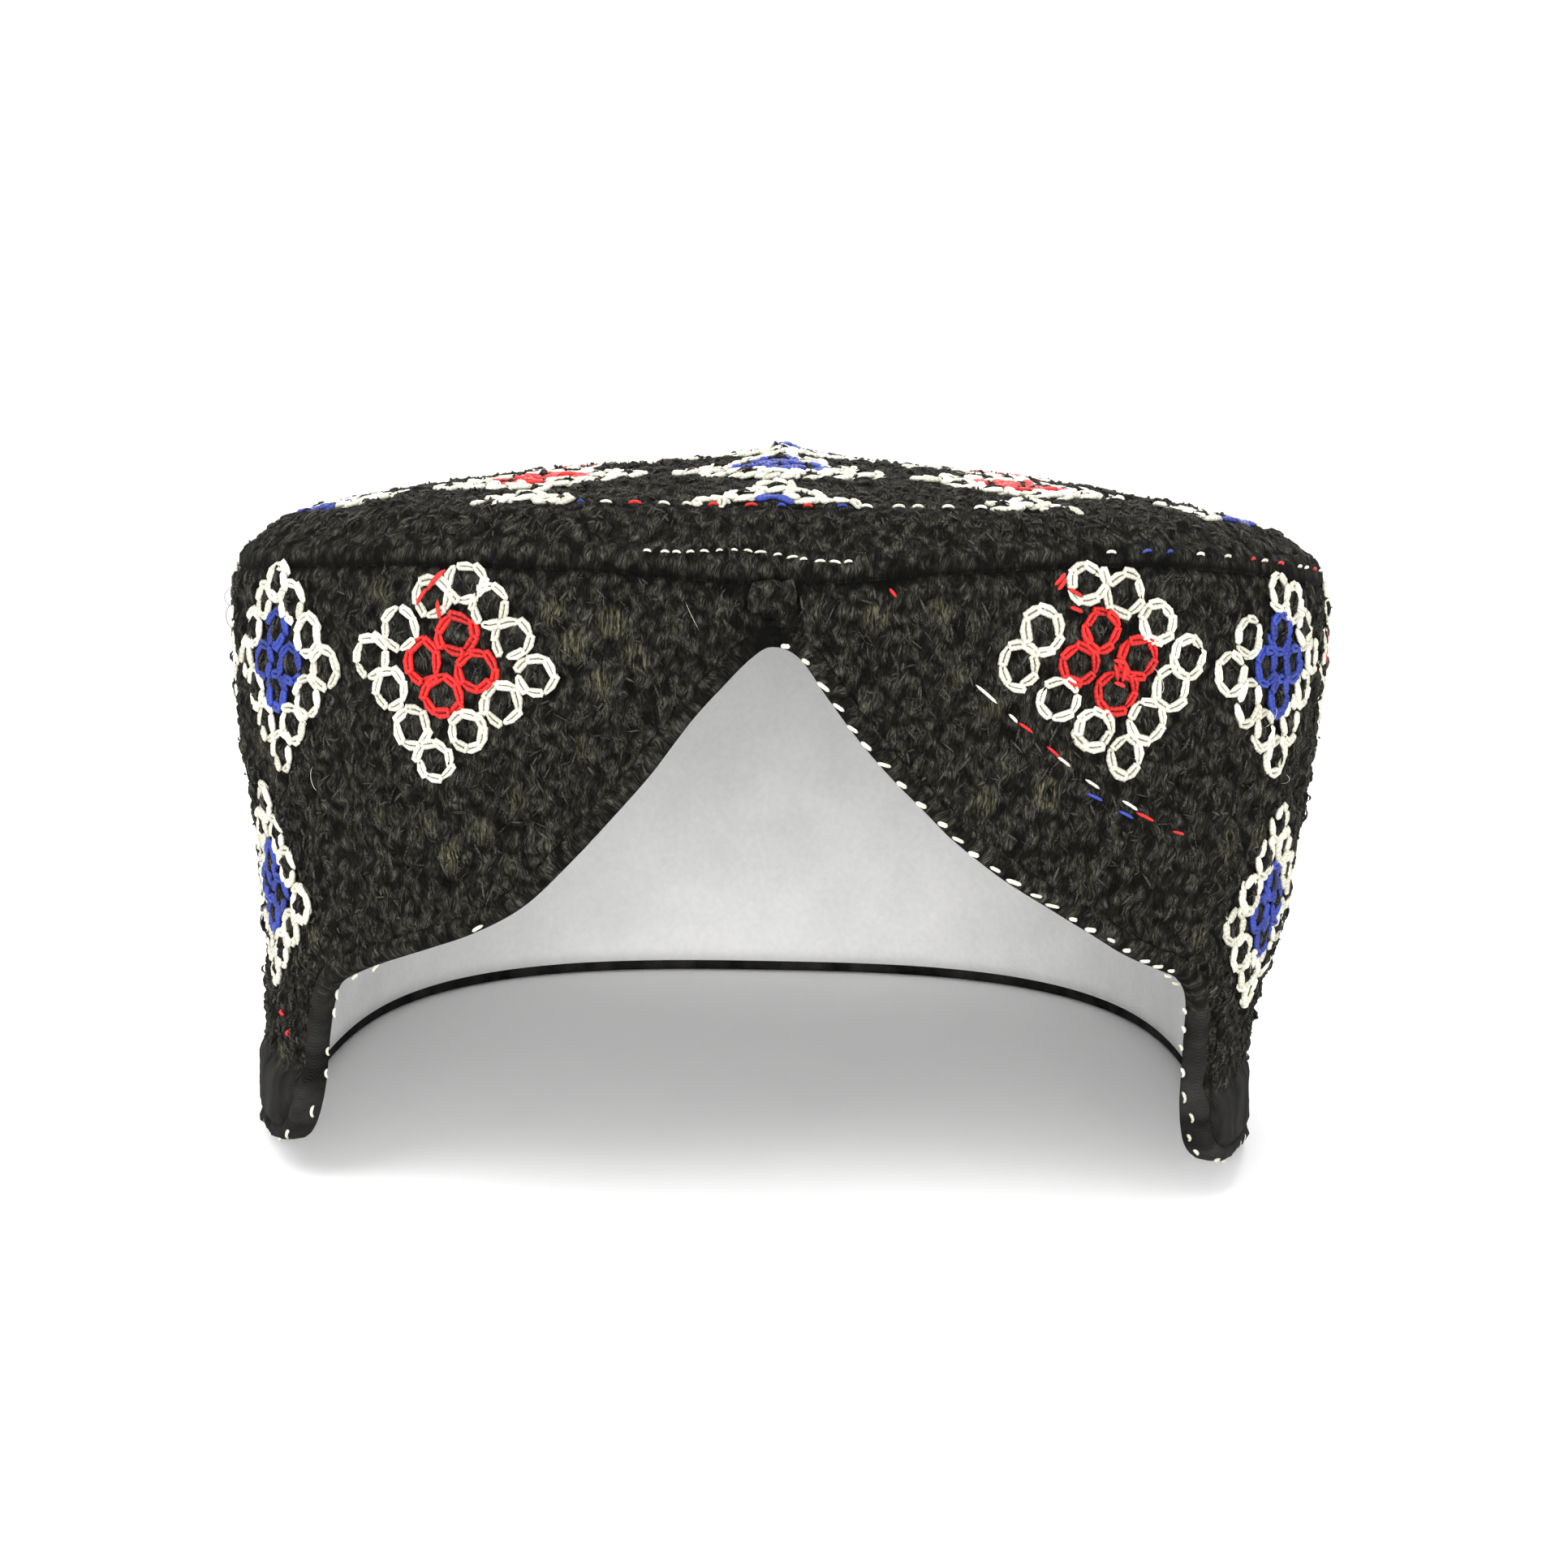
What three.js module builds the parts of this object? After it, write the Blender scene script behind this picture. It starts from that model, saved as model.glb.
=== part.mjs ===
// Embroidered cap: a low domed crown, a plain shoulder strip round it, and a deep side wall
// that is cut out in a pointed arch over the forehead.
// Millimetres, +Z up. The front faces -Y, and the cap stands on its hem.
// The origin is the middle of the plan on the surface that the hem rests on.
import * as THREE from 'three';

// Plan of the seam between the shoulder strip and the side wall, measured outside
const HALF_WIDTH = 84.5;
const HALF_DEPTH = 93;
const PLAN_SQUARENESS = 2.8;

// Side wall
const WALL_HEIGHT = 86.5;
const WALL_CLOTH = 2;
const LEFT_TUCK = 4.6;
const RIGHT_TUCK = 10;
const FRONT_FLARE = 7.8;
const BACK_FLARE = 3;
const HEM_BAND = 13;
const HEM_SWELL = 1.3;
const HEM_STEP = 5;

// Arch over the forehead, measured along the wall from the front centre
const ARCH_REACH = 88;
const ARCH_HEIGHT = 78.2;
const BINDING_WIDTH = 2;

// Shoulder strip and crown
const STRIP_CLOTH = 2.2;
const STRIP_REACH = 9.3;
const STRIP_RISE = 9.3;
const STRIP_ROUNDNESS = 1.35;
const CROWN_CLOTH = 2.2;
const CROWN_RISE = 7;
const RIDGE_RISE = 3.2;
const RIDGE_SPREAD = 9;
const SIDE_DROOP = 2.6;

// Lining, and the gap that pieces sewn to each other keep
const LINING_CLOTH = 1;
const CLEARANCE = 0.3;

// How finely the cloth is divided
const ARCH_STEPS = 48;
const HEM_STEPS = 36;
const WALL_ROWS = 8;
const CROWN_COLUMNS = 60;
const STRIP_ROWS = 4;
const CROWN_ROWS = 6;
const PLAN_SAMPLES = 720;
const TANGENT_STEP = 0.002;

// Halves of the arch's edge. reach is a share of ARCH_REACH, height a share of ARCH_HEIGHT
const ARCH_LEFT = [
  { reach: 0.031, height: 0.98 },
  { reach: 0.072, height: 0.932 },
  { reach: 0.117, height: 0.874 },
  { reach: 0.177, height: 0.784 },
  { reach: 0.239, height: 0.708 },
  { reach: 0.303, height: 0.637 },
  { reach: 0.384, height: 0.559 },
  { reach: 0.467, height: 0.51 },
  { reach: 0.556, height: 0.4735 },
  { reach: 0.657, height: 0.435 },
  { reach: 0.735, height: 0.402 },
  { reach: 0.793, height: 0.367 },
  { reach: 0.822, height: 0.3 },
  { reach: 0.835, height: 0.222 },
  { reach: 0.848, height: 0.146 },
  { reach: 0.88, height: 0.07 },
  { reach: 0.93, height: 0.018 },
  { reach: 1, height: 0 },
];
const ARCH_RIGHT = [
  { reach: 0, height: 1 },
  { reach: 0.04, height: 0.982 },
  { reach: 0.083, height: 0.916 },
  { reach: 0.132, height: 0.844 },
  { reach: 0.181, height: 0.783 },
  { reach: 0.232, height: 0.729 },
  { reach: 0.283, height: 0.677 },
  { reach: 0.362, height: 0.615 },
  { reach: 0.444, height: 0.564 },
  { reach: 0.522, height: 0.518 },
  { reach: 0.6, height: 0.4735 },
  { reach: 0.675, height: 0.442 },
  { reach: 0.74, height: 0.413 },
  { reach: 0.79, height: 0.362 },
  { reach: 0.818, height: 0.29 },
  { reach: 0.835, height: 0.215 },
  { reach: 0.846, height: 0.135 },
  { reach: 0.87, height: 0.06 },
  { reach: 0.925, height: 0.014 },
  { reach: 1, height: 0 },
];

// How far each side has settled at a share of the wall's height.
// left and right are shares of the tucks, front and back of the flares
const WALL_SETTLING = [
  { at: 0, left: 1, right: 1, front: 1, back: 1 },
  { at: 0.21, left: 1, right: 0.93, front: 0.79, back: 0.7 },
  { at: 0.4, left: 0.95, right: 0.52, front: 0.58, back: 0.45 },
  { at: 0.555, left: 0.7, right: 0.3, front: 0.42, back: 0.3 },
  { at: 0.65, left: 0.4, right: 0.17, front: 0.33, back: 0.2 },
  { at: 0.81, left: 0.05, right: 0.03, front: 0.17, back: 0.08 },
  { at: 1, left: 0, right: 0, front: 0, back: 0 },
];

// How far the seam has risen at a length round the wall from the front centre
const SEAM_RISE = [
  { at: -130, rise: 0 },
  { at: -110, rise: 0 },
  { at: -85, rise: 0.5 },
  { at: -60, rise: 1.4 },
  { at: -43, rise: 1.7 },
  { at: -20, rise: 1.3 },
  { at: 0, rise: 0.2 },
  { at: 20, rise: 1.6 },
  { at: 43, rise: 3 },
  { at: 60, rise: 2.8 },
  { at: 85, rise: 1 },
  { at: 110, rise: 0 },
  { at: 130, rise: 0 },
];

// The tips at the arch's feet have risen off the surface, out to TIP_REACH and up to TIP_HEIGHT
const TIP_RISE = 4.4;
const TIP_REACH = 122;
const TIP_HEIGHT = 45;

const BLACK_EMBROIDERY = { color: 0x1d1d1a, roughness: 0.95, metalness: 0 };
const BLACK_PLAIN = { color: 0x191919, roughness: 0.9, metalness: 0 };
const WHITE_COTTON = { color: 0xe4e3e0, roughness: 0.9, metalness: 0 };

// A column of a table at a place, on a curve through its rows
function readTable(rows, column, place) {
  const last = rows.length - 1;
  let i = 0;
  while (i < last - 1 && place > rows[i + 1].at) i += 1;
  const slopeAt = (k) => {
    const low = rows[Math.max(k - 1, 0)];
    const high = rows[Math.min(k + 1, last)];
    return (high[column] - low[column]) / (high.at - low.at);
  };
  const span = rows[i + 1].at - rows[i].at;
  const u = THREE.MathUtils.clamp((place - rows[i].at) / span, 0, 1);
  const blend = u * u * (3 - 2 * u);
  const start = rows[i][column] + slopeAt(i) * span * u;
  const end = rows[i + 1][column] - slopeAt(i + 1) * span * (1 - u);
  return start * (1 - blend) + end * blend;
}

// The seam's plan at an angle from the front centre, as an oval with squared shoulders
function seamPoint(angle) {
  const across = Math.abs(Math.sin(angle) / HALF_WIDTH) ** PLAN_SQUARENESS;
  const along = Math.abs(Math.cos(angle) / HALF_DEPTH) ** PLAN_SQUARENESS;
  const radius = (across + along) ** (-1 / PLAN_SQUARENESS);
  return new THREE.Vector2(radius * Math.sin(angle), -radius * Math.cos(angle));
}

// Lengths along the seam from the front centre to each sampled angle of the right half
const SEAM_LENGTHS = [0];
for (let i = 1; i <= PLAN_SAMPLES; i += 1) {
  const before = seamPoint((Math.PI * (i - 1)) / PLAN_SAMPLES);
  const here = seamPoint((Math.PI * i) / PLAN_SAMPLES);
  SEAM_LENGTHS.push(SEAM_LENGTHS[i - 1] + here.distanceTo(before));
}
const HALF_ROUND = SEAM_LENGTHS[PLAN_SAMPLES];

// The angle at a length along the seam, negative to the left of the front centre
function angleAt(length) {
  const wanted = Math.min(Math.abs(length), HALF_ROUND);
  let i = 1;
  while (i < PLAN_SAMPLES && SEAM_LENGTHS[i] < wanted) i += 1;
  const part = (wanted - SEAM_LENGTHS[i - 1]) / (SEAM_LENGTHS[i] - SEAM_LENGTHS[i - 1]);
  return (Math.sign(length) * Math.PI * (i - 1 + part)) / PLAN_SAMPLES;
}

// The length along the seam at an angle from the front centre, negative to the left
function lengthAt(angle) {
  const turn = THREE.MathUtils.euclideanModulo(angle + Math.PI, 2 * Math.PI) - Math.PI;
  const place = (Math.abs(turn) / Math.PI) * PLAN_SAMPLES;
  const i = Math.min(Math.floor(place), PLAN_SAMPLES - 1);
  return Math.sign(turn) * THREE.MathUtils.lerp(SEAM_LENGTHS[i], SEAM_LENGTHS[i + 1], place - i);
}

// How far the cloth has risen or drooped: the tips, the seam, and the crown's sides.
// x and z are the point's before it, and inset is its distance in from the seam's plan
function riseAt(angle, x, z, inset) {
  const length = lengthAt(angle);
  const spread = 1 - THREE.MathUtils.smoothstep(Math.abs(length), ARCH_REACH, TIP_REACH);
  const tip = TIP_RISE * spread * Math.max(1 - z / TIP_HEIGHT, 0) ** 2;
  const inward = THREE.MathUtils.clamp(inset / STRIP_REACH, 0, 1);
  const seam = readTable(SEAM_RISE, 'rise', length) * (1 - inward);
  const droop = SIDE_DROOP * Math.abs(x / (HALF_WIDTH - STRIP_REACH)) ** 4 * inward;
  return tip + (seam - droop) * Math.min(z / WALL_HEIGHT, 1) ** 2;
}

// The wall's plan at a height, with its sides tucked in and its front and back flared
function settledPoint(angle, z) {
  const point = seamPoint(angle);
  const share = THREE.MathUtils.clamp(z / WALL_HEIGHT, 0, 1);
  const tuck = point.x < 0
    ? LEFT_TUCK * readTable(WALL_SETTLING, 'left', share)
    : RIGHT_TUCK * readTable(WALL_SETTLING, 'right', share);
  const flare = point.y < 0
    ? FRONT_FLARE * readTable(WALL_SETTLING, 'front', share)
    : BACK_FLARE * readTable(WALL_SETTLING, 'back', share);
  point.x *= 1 - tuck / HALF_WIDTH;
  point.y *= 1 + (flare / HALF_DEPTH) * Math.abs(Math.cos(angle));
  return point;
}

// Outward direction of the wall's plan
function wallNormal(angle, z) {
  const ahead = settledPoint(angle + TANGENT_STEP, z);
  const behind = settledPoint(angle - TANGENT_STEP, z);
  const along = ahead.sub(behind).normalize();
  return new THREE.Vector2(along.y, -along.x);
}

// A point of the wall at a depth below its outer face
function wallPoint(angle, z, depth) {
  const point = settledPoint(angle, z).addScaledVector(wallNormal(angle, z), -depth);
  return new THREE.Vector3(point.x, point.y, z + riseAt(angle, point.x, z, depth));
}

// The folded hem stands proud of the wall
function hemSwell(z) {
  return HEM_SWELL * (1 - THREE.MathUtils.smoothstep(z, HEM_BAND - HEM_STEP / 2, HEM_BAND + HEM_STEP / 2));
}

// The wall's whole lower edge laid flat, as lengths along the seam and heights,
// from the back centre over the left hem, the arch and the right hem
function lowerEdge() {
  const half = (rows, side) => rows.map(({ reach, height }) => (
    new THREE.Vector2(side * reach * ARCH_REACH, height * ARCH_HEIGHT)
  ));
  const left = half(ARCH_LEFT, -1).reverse();
  const right = half(ARCH_RIGHT, 1);
  const arch = new THREE.SplineCurve([...left, ...right]).getSpacedPoints(ARCH_STEPS);
  const hemLength = HALF_ROUND - ARCH_REACH;
  const steps = HEM_STEPS / 2;
  const edge = [];
  for (let i = 0; i < steps; i += 1) edge.push(new THREE.Vector2(-HALF_ROUND + (hemLength * i) / steps, 0));
  for (const point of arch) edge.push(new THREE.Vector2(point.x, Math.max(point.y, 0)));
  for (let i = 1; i < steps; i += 1) edge.push(new THREE.Vector2(ARCH_REACH + (hemLength * i) / steps, 0));
  return edge;
}

// Directions of the flat edge at each point: along it, and from it into the cloth
function edgeDirections(edge) {
  const round = 2 * HALF_ROUND;
  return edge.map((point, i) => {
    const ahead = edge[(i + 1) % edge.length].clone().sub(point);
    const behind = point.clone().sub(edge[(i + edge.length - 1) % edge.length]);
    if (ahead.x < -HALF_ROUND) ahead.x += round;
    if (behind.x < -HALF_ROUND) behind.x += round;
    const along = ahead.normalize().add(behind.normalize()).normalize();
    return { along, inward: new THREE.Vector2(-along.y, along.x) };
  });
}

// Closed cloth between an outer and an inner sheet. A sheet is a list of rows of points that run
// round the cap anticlockwise from above, its rows going up the wall or in over the crown.
// A pole is the one point that both sheets' rows close on, as [outer, inner]
function clothSolid(outer, inner, pole) {
  const rows = outer.length;
  const columns = outer[0].length;
  const points = [...outer.flat(), ...inner.flat(), ...(pole ?? [])];
  const outerAt = (row, column) => row * columns + (column % columns);
  const innerAt = (row, column) => rows * columns + outerAt(row, column);
  const faces = [];
  const quad = (a, b, c, d) => faces.push(a, b, c, a, c, d);
  for (let j = 0; j < columns; j += 1) {
    for (let i = 0; i < rows - 1; i += 1) {
      quad(outerAt(i, j), outerAt(i, j + 1), outerAt(i + 1, j + 1), outerAt(i + 1, j));
      quad(innerAt(i, j), innerAt(i + 1, j), innerAt(i + 1, j + 1), innerAt(i, j + 1));
    }
    quad(innerAt(0, j), innerAt(0, j + 1), outerAt(0, j + 1), outerAt(0, j));
    const end = rows - 1;
    if (pole) {
      const outerPole = 2 * rows * columns;
      faces.push(outerAt(end, j), outerAt(end, j + 1), outerPole);
      faces.push(innerAt(end, j + 1), innerAt(end, j), outerPole + 1);
    } else {
      quad(outerAt(end, j), outerAt(end, j + 1), innerAt(end, j + 1), innerAt(end, j));
    }
  }
  return geometryFrom(points, faces);
}

// Geometry of a closed body from its points and the corners of its triangles
function geometryFrom(points, faces) {
  const geometry = new THREE.BufferGeometry();
  geometry.setFromPoints(points);
  geometry.setIndex(faces);
  geometry.computeVertexNormals();
  return geometry;
}

// A wall of cloth above the lower edge, between two depths below the outer face
function wallCloth(outerDepth, innerDepth) {
  const edge = lowerEdge();
  const directions = edgeDirections(edge);
  const setBack = BINDING_WIDTH + CLEARANCE;
  const feet = edge.map((point, i) => point.clone().addScaledVector(directions[i].inward, setBack));
  const sheet = (depthAt) => Array.from({ length: WALL_ROWS + 1 }, (_, row) => feet.map((foot) => {
    const z = THREE.MathUtils.lerp(foot.y, WALL_HEIGHT, row / WALL_ROWS);
    return wallPoint(angleAt(foot.x), z, depthAt(z));
  }));
  return clothSolid(sheet(outerDepth), sheet(innerDepth));
}

function sideWall() {
  return wallCloth((z) => -hemSwell(z), () => WALL_CLOTH);
}

function wallLining() {
  const depth = WALL_CLOTH + CLEARANCE;
  return wallCloth(() => depth, () => depth + LINING_CLOTH);
}

// The strip bound round the arch and the hem, as thick as the cloth that it holds
function edgeBinding() {
  const edge = lowerEdge();
  const directions = edgeDirections(edge);
  const thickness = WALL_CLOTH + CLEARANCE + LINING_CLOTH;
  const corner = BINDING_WIDTH / 4;
  // Corners of the section: depth below the outer face and distance in from the edge
  const section = [
    { depth: corner, inset: 0 },
    { depth: 0, inset: corner },
    { depth: 0, inset: BINDING_WIDTH },
    { depth: thickness, inset: BINDING_WIDTH },
    { depth: thickness, inset: corner },
    { depth: thickness - corner, inset: 0 },
  ];
  const points = [];
  edge.forEach((point, i) => section.forEach(({ depth, inset }) => {
    const at = point.clone().addScaledVector(directions[i].inward, inset);
    const outerFace = -hemSwell(at.y);
    const below = THREE.MathUtils.lerp(outerFace, thickness, depth / thickness);
    points.push(wallPoint(angleAt(at.x), at.y, below));
  }));
  const faces = [];
  const corners = section.length;
  const index = (i, k) => (i % edge.length) * corners + (k % corners);
  for (let i = 0; i < edge.length; i += 1) {
    for (let k = 0; k < corners; k += 1) {
      faces.push(index(i, k), index(i + 1, k), index(i + 1, k + 1));
      faces.push(index(i, k), index(i + 1, k + 1), index(i, k + 1));
    }
  }
  return geometryFrom(points, faces);
}

const CROWN_ANGLES = Array.from({ length: CROWN_COLUMNS }, (_, i) => (2 * Math.PI * i) / CROWN_COLUMNS);

// The seam's plan moved in by a distance
function insetPlan(angle, inset) {
  const ahead = seamPoint(angle + TANGENT_STEP);
  const behind = seamPoint(angle - TANGENT_STEP);
  const along = ahead.sub(behind).normalize();
  return seamPoint(angle).addScaledVector(new THREE.Vector2(-along.y, along.x), inset);
}

// Height of the strip's outer face, at a distance in from the seam
function stripHeight(inset) {
  const left = 1 - inset / STRIP_REACH;
  return WALL_HEIGHT + CLEARANCE + STRIP_RISE * (1 - left ** STRIP_ROUNDNESS);
}

// A band of cloth under the strip's outer face, between two depths.
// Its foot is cut level over the wall's top edge, and its head upright against the crown
function stripBand(outerDepth, innerDepth, foot) {
  const sheet = (depth) => Array.from({ length: STRIP_ROWS + 1 }, (_, row) => {
    const along = row / STRIP_ROWS;
    const reach = STRIP_REACH * along;
    const step = STRIP_REACH / 1000;
    const rise = stripHeight(Math.min(reach + step, STRIP_REACH)) - stripHeight(Math.max(reach - step, 0));
    const run = Math.min(reach + step, STRIP_REACH) - Math.max(reach - step, 0);
    const slope = Math.atan2(rise, run);
    const isFoot = row === 0;
    const isHead = row === STRIP_ROWS;
    const inset = isFoot ? depth / Math.sin(slope) : reach + (isHead ? 0 : depth * Math.sin(slope));
    const drop = isFoot ? 0 : depth * (isHead ? 1 / Math.cos(slope) : Math.cos(slope));
    const z = isFoot ? foot : stripHeight(reach) - drop;
    return CROWN_ANGLES.map((angle) => {
      const plan = insetPlan(angle, inset);
      return new THREE.Vector3(plan.x, plan.y, z + riseAt(angle, plan.x, z, inset));
    });
  });
  return { outer: sheet(outerDepth), inner: sheet(innerDepth) };
}

function shoulderStrip() {
  const band = stripBand(0, STRIP_CLOTH, WALL_HEIGHT + CLEARANCE);
  return clothSolid(band.outer, band.inner);
}

// Height of the crown's top face above a point, with the crease of the folded cap along its middle.
// from is the share of the way from the centre to the crown's edge
function crownHeight(x, from) {
  const level = 1 - from * from;
  const ridge = RIDGE_RISE * Math.exp(-Math.abs(x) / RIDGE_SPREAD) * Math.sqrt(level);
  return stripHeight(STRIP_REACH) + CROWN_RISE * level + ridge;
}

// Rows of the crown at a depth, from the strip's head in to the centre, and the centre point
function crownSheet(depth) {
  const rows = Array.from({ length: CROWN_ROWS }, (_, row) => {
    const from = 1 - row / CROWN_ROWS;
    return CROWN_ANGLES.map((angle) => {
      const plan = insetPlan(angle, STRIP_REACH + CLEARANCE).multiplyScalar(from);
      const z = crownHeight(plan.x, from) - depth;
      return new THREE.Vector3(plan.x, plan.y, z + riseAt(angle, plan.x, z, STRIP_REACH));
    });
  });
  return { rows, centre: new THREE.Vector3(0, 0, crownHeight(0, 0) - depth) };
}

function crownDisc() {
  const top = crownSheet(0);
  const under = crownSheet(CROWN_CLOTH);
  return clothSolid(top.rows, under.rows, [top.centre, under.centre]);
}

// One lining under both the strip and the crown
function crownLining() {
  const depth = Math.max(STRIP_CLOTH, CROWN_CLOTH) + CLEARANCE;
  const band = stripBand(depth, depth + LINING_CLOTH, WALL_HEIGHT + CLEARANCE);
  const top = crownSheet(depth);
  const under = crownSheet(depth + LINING_CLOTH);
  band.outer.pop();
  band.inner.pop();
  const outer = [...band.outer, ...top.rows];
  const inner = [...band.inner, ...under.rows];
  return clothSolid(outer, inner, [top.centre, under.centre]);
}

function piece(name, geometry, finish) {
  const mesh = new THREE.Mesh(geometry, new THREE.MeshStandardMaterial(finish));
  mesh.name = name;
  return mesh;
}

const cap = new THREE.Group();
cap.add(piece('crown_disc', crownDisc(), BLACK_EMBROIDERY));
cap.add(piece('shoulder_strip', shoulderStrip(), BLACK_PLAIN));
cap.add(piece('side_wall', sideWall(), BLACK_EMBROIDERY));
cap.add(piece('edge_binding', edgeBinding(), BLACK_PLAIN));
cap.add(piece('wall_lining', wallLining(), WHITE_COTTON));
cap.add(piece('crown_lining', crownLining(), WHITE_COTTON));

// The front flares more than the back, so the plan's middle moves to the origin
const extent = new THREE.Box3().setFromObject(cap);
cap.position.y = -(extent.min.y + extent.max.y) / 2;

export default cap;
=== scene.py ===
"""Looks of a black embroidered cap: its cloth, linings, binding and every stitch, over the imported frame.

All lengths are millimetres until a mesh is finished, and the front of the cap faces -Y.
Flat cloth coordinates are u, the length round the wall from the front centre, and v, the height.
"""

import bisect
import logging
import math
import random
from abc import ABC, abstractmethod
from dataclasses import dataclass, field
from enum import Enum
from functools import cached_property
from typing import Callable, Iterable

import bmesh
import bpy
import numpy as np
from mathutils import Matrix, Vector, kdtree, noise


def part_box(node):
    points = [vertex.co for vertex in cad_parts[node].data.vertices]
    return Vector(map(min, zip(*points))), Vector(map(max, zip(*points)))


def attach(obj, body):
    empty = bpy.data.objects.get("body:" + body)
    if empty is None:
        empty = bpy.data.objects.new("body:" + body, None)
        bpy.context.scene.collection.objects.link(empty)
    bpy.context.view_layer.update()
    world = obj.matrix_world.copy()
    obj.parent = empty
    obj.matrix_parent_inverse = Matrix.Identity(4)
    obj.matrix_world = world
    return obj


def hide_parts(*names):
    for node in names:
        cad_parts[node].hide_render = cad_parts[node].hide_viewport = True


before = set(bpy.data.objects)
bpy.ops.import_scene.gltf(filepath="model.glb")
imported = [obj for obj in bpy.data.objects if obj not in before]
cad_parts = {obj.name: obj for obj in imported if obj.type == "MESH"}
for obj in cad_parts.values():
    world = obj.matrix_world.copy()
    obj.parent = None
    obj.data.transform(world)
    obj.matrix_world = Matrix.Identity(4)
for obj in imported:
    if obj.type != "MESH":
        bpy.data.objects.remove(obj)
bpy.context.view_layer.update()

MM = 0.001
SEED = 11
FULL_TURN = 2 * math.pi

log = logging.getLogger("cap")


def smoothstep(value: float, low: float, high: float) -> float:
    """A smooth rise from 0 at low to 1 at high."""
    share = min(max((value - low) / (high - low), 0.0), 1.0)
    return share * share * (3 - 2 * share)


def bell(value: float, width: float) -> float:
    """A hump that is 1 at zero and fades over a width."""
    return math.exp(-((value / width) ** 2))


class Slot(Enum):
    """Kinds of material of the cap's pieces."""

    EMBROIDERY = "black_embroidery"
    PLAIN = "black_plain"
    COTTON = "white_cotton"
    WHITE = "white_thread"
    RED = "red_thread"
    BLUE = "blue_thread"


# How far each side of the wall has settled at shares of its height: columns of heights and of shares
WALL_SETTLING: dict[str, tuple[float, ...]] = {
    "at": (0, 0.21, 0.4, 0.555, 0.65, 0.81, 1),
    "left": (1, 1, 0.95, 0.7, 0.4, 0.05, 0),
    "right": (1, 0.93, 0.52, 0.3, 0.17, 0.03, 0),
    "front": (1, 0.79, 0.58, 0.42, 0.33, 0.17, 0),
    "back": (1, 0.7, 0.45, 0.3, 0.2, 0.08, 0),
}

# How far the seam has risen at lengths round the wall from the front centre
SEAM_RISE: dict[str, tuple[float, ...]] = {
    "at": (-130, -110, -85, -60, -43, -20, 0, 20, 43, 60, 85, 110, 130),
    "rise": (0, 0, 0.5, 1.4, 1.7, 1.3, 0.2, 1.6, 3, 2.8, 1, 0, 0),
}

# Halves of the arch's edge, as shares of its reach and of its height
ARCH_LEFT = (
    (0.031, 0.98), (0.072, 0.932), (0.117, 0.874), (0.177, 0.784), (0.239, 0.708), (0.303, 0.637),
    (0.384, 0.559), (0.467, 0.51), (0.556, 0.4735), (0.657, 0.435), (0.735, 0.402), (0.793, 0.367),
    (0.822, 0.3), (0.835, 0.222), (0.848, 0.146), (0.88, 0.07), (0.93, 0.018), (1, 0),
)
ARCH_RIGHT = (
    (0, 1), (0.04, 0.982), (0.083, 0.916), (0.132, 0.844), (0.181, 0.783), (0.232, 0.729),
    (0.283, 0.677), (0.362, 0.615), (0.444, 0.564), (0.522, 0.518), (0.6, 0.4735), (0.675, 0.442),
    (0.74, 0.413), (0.79, 0.362), (0.818, 0.29), (0.835, 0.215), (0.846, 0.135), (0.87, 0.06),
    (0.925, 0.014), (1, 0),
)


def read_table(places: tuple[float, ...], numbers: tuple[float, ...], place: float) -> float:
    """A table's number at a place, on a curve through its rows.

    Args:
        places: The rows' places, rising.
        numbers: The rows' numbers.
        place: Where to read, held within the rows.

    Returns:
        The number there.
    """
    last = len(places) - 1
    i = min(max(bisect.bisect_left(places, place) - 1, 0), last - 1)

    def slope(k: int) -> float:
        """Slope of the curve at a row."""
        low, high = max(k - 1, 0), min(k + 1, last)
        return (numbers[high] - numbers[low]) / (places[high] - places[low])

    span = places[i + 1] - places[i]
    part = min(max((place - places[i]) / span, 0.0), 1.0)
    blend = part * part * (3 - 2 * part)
    start = numbers[i] + slope(i) * span * part
    end = numbers[i + 1] - slope(i + 1) * span * (1 - part)
    return start * (1 - blend) + end * blend


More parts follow.
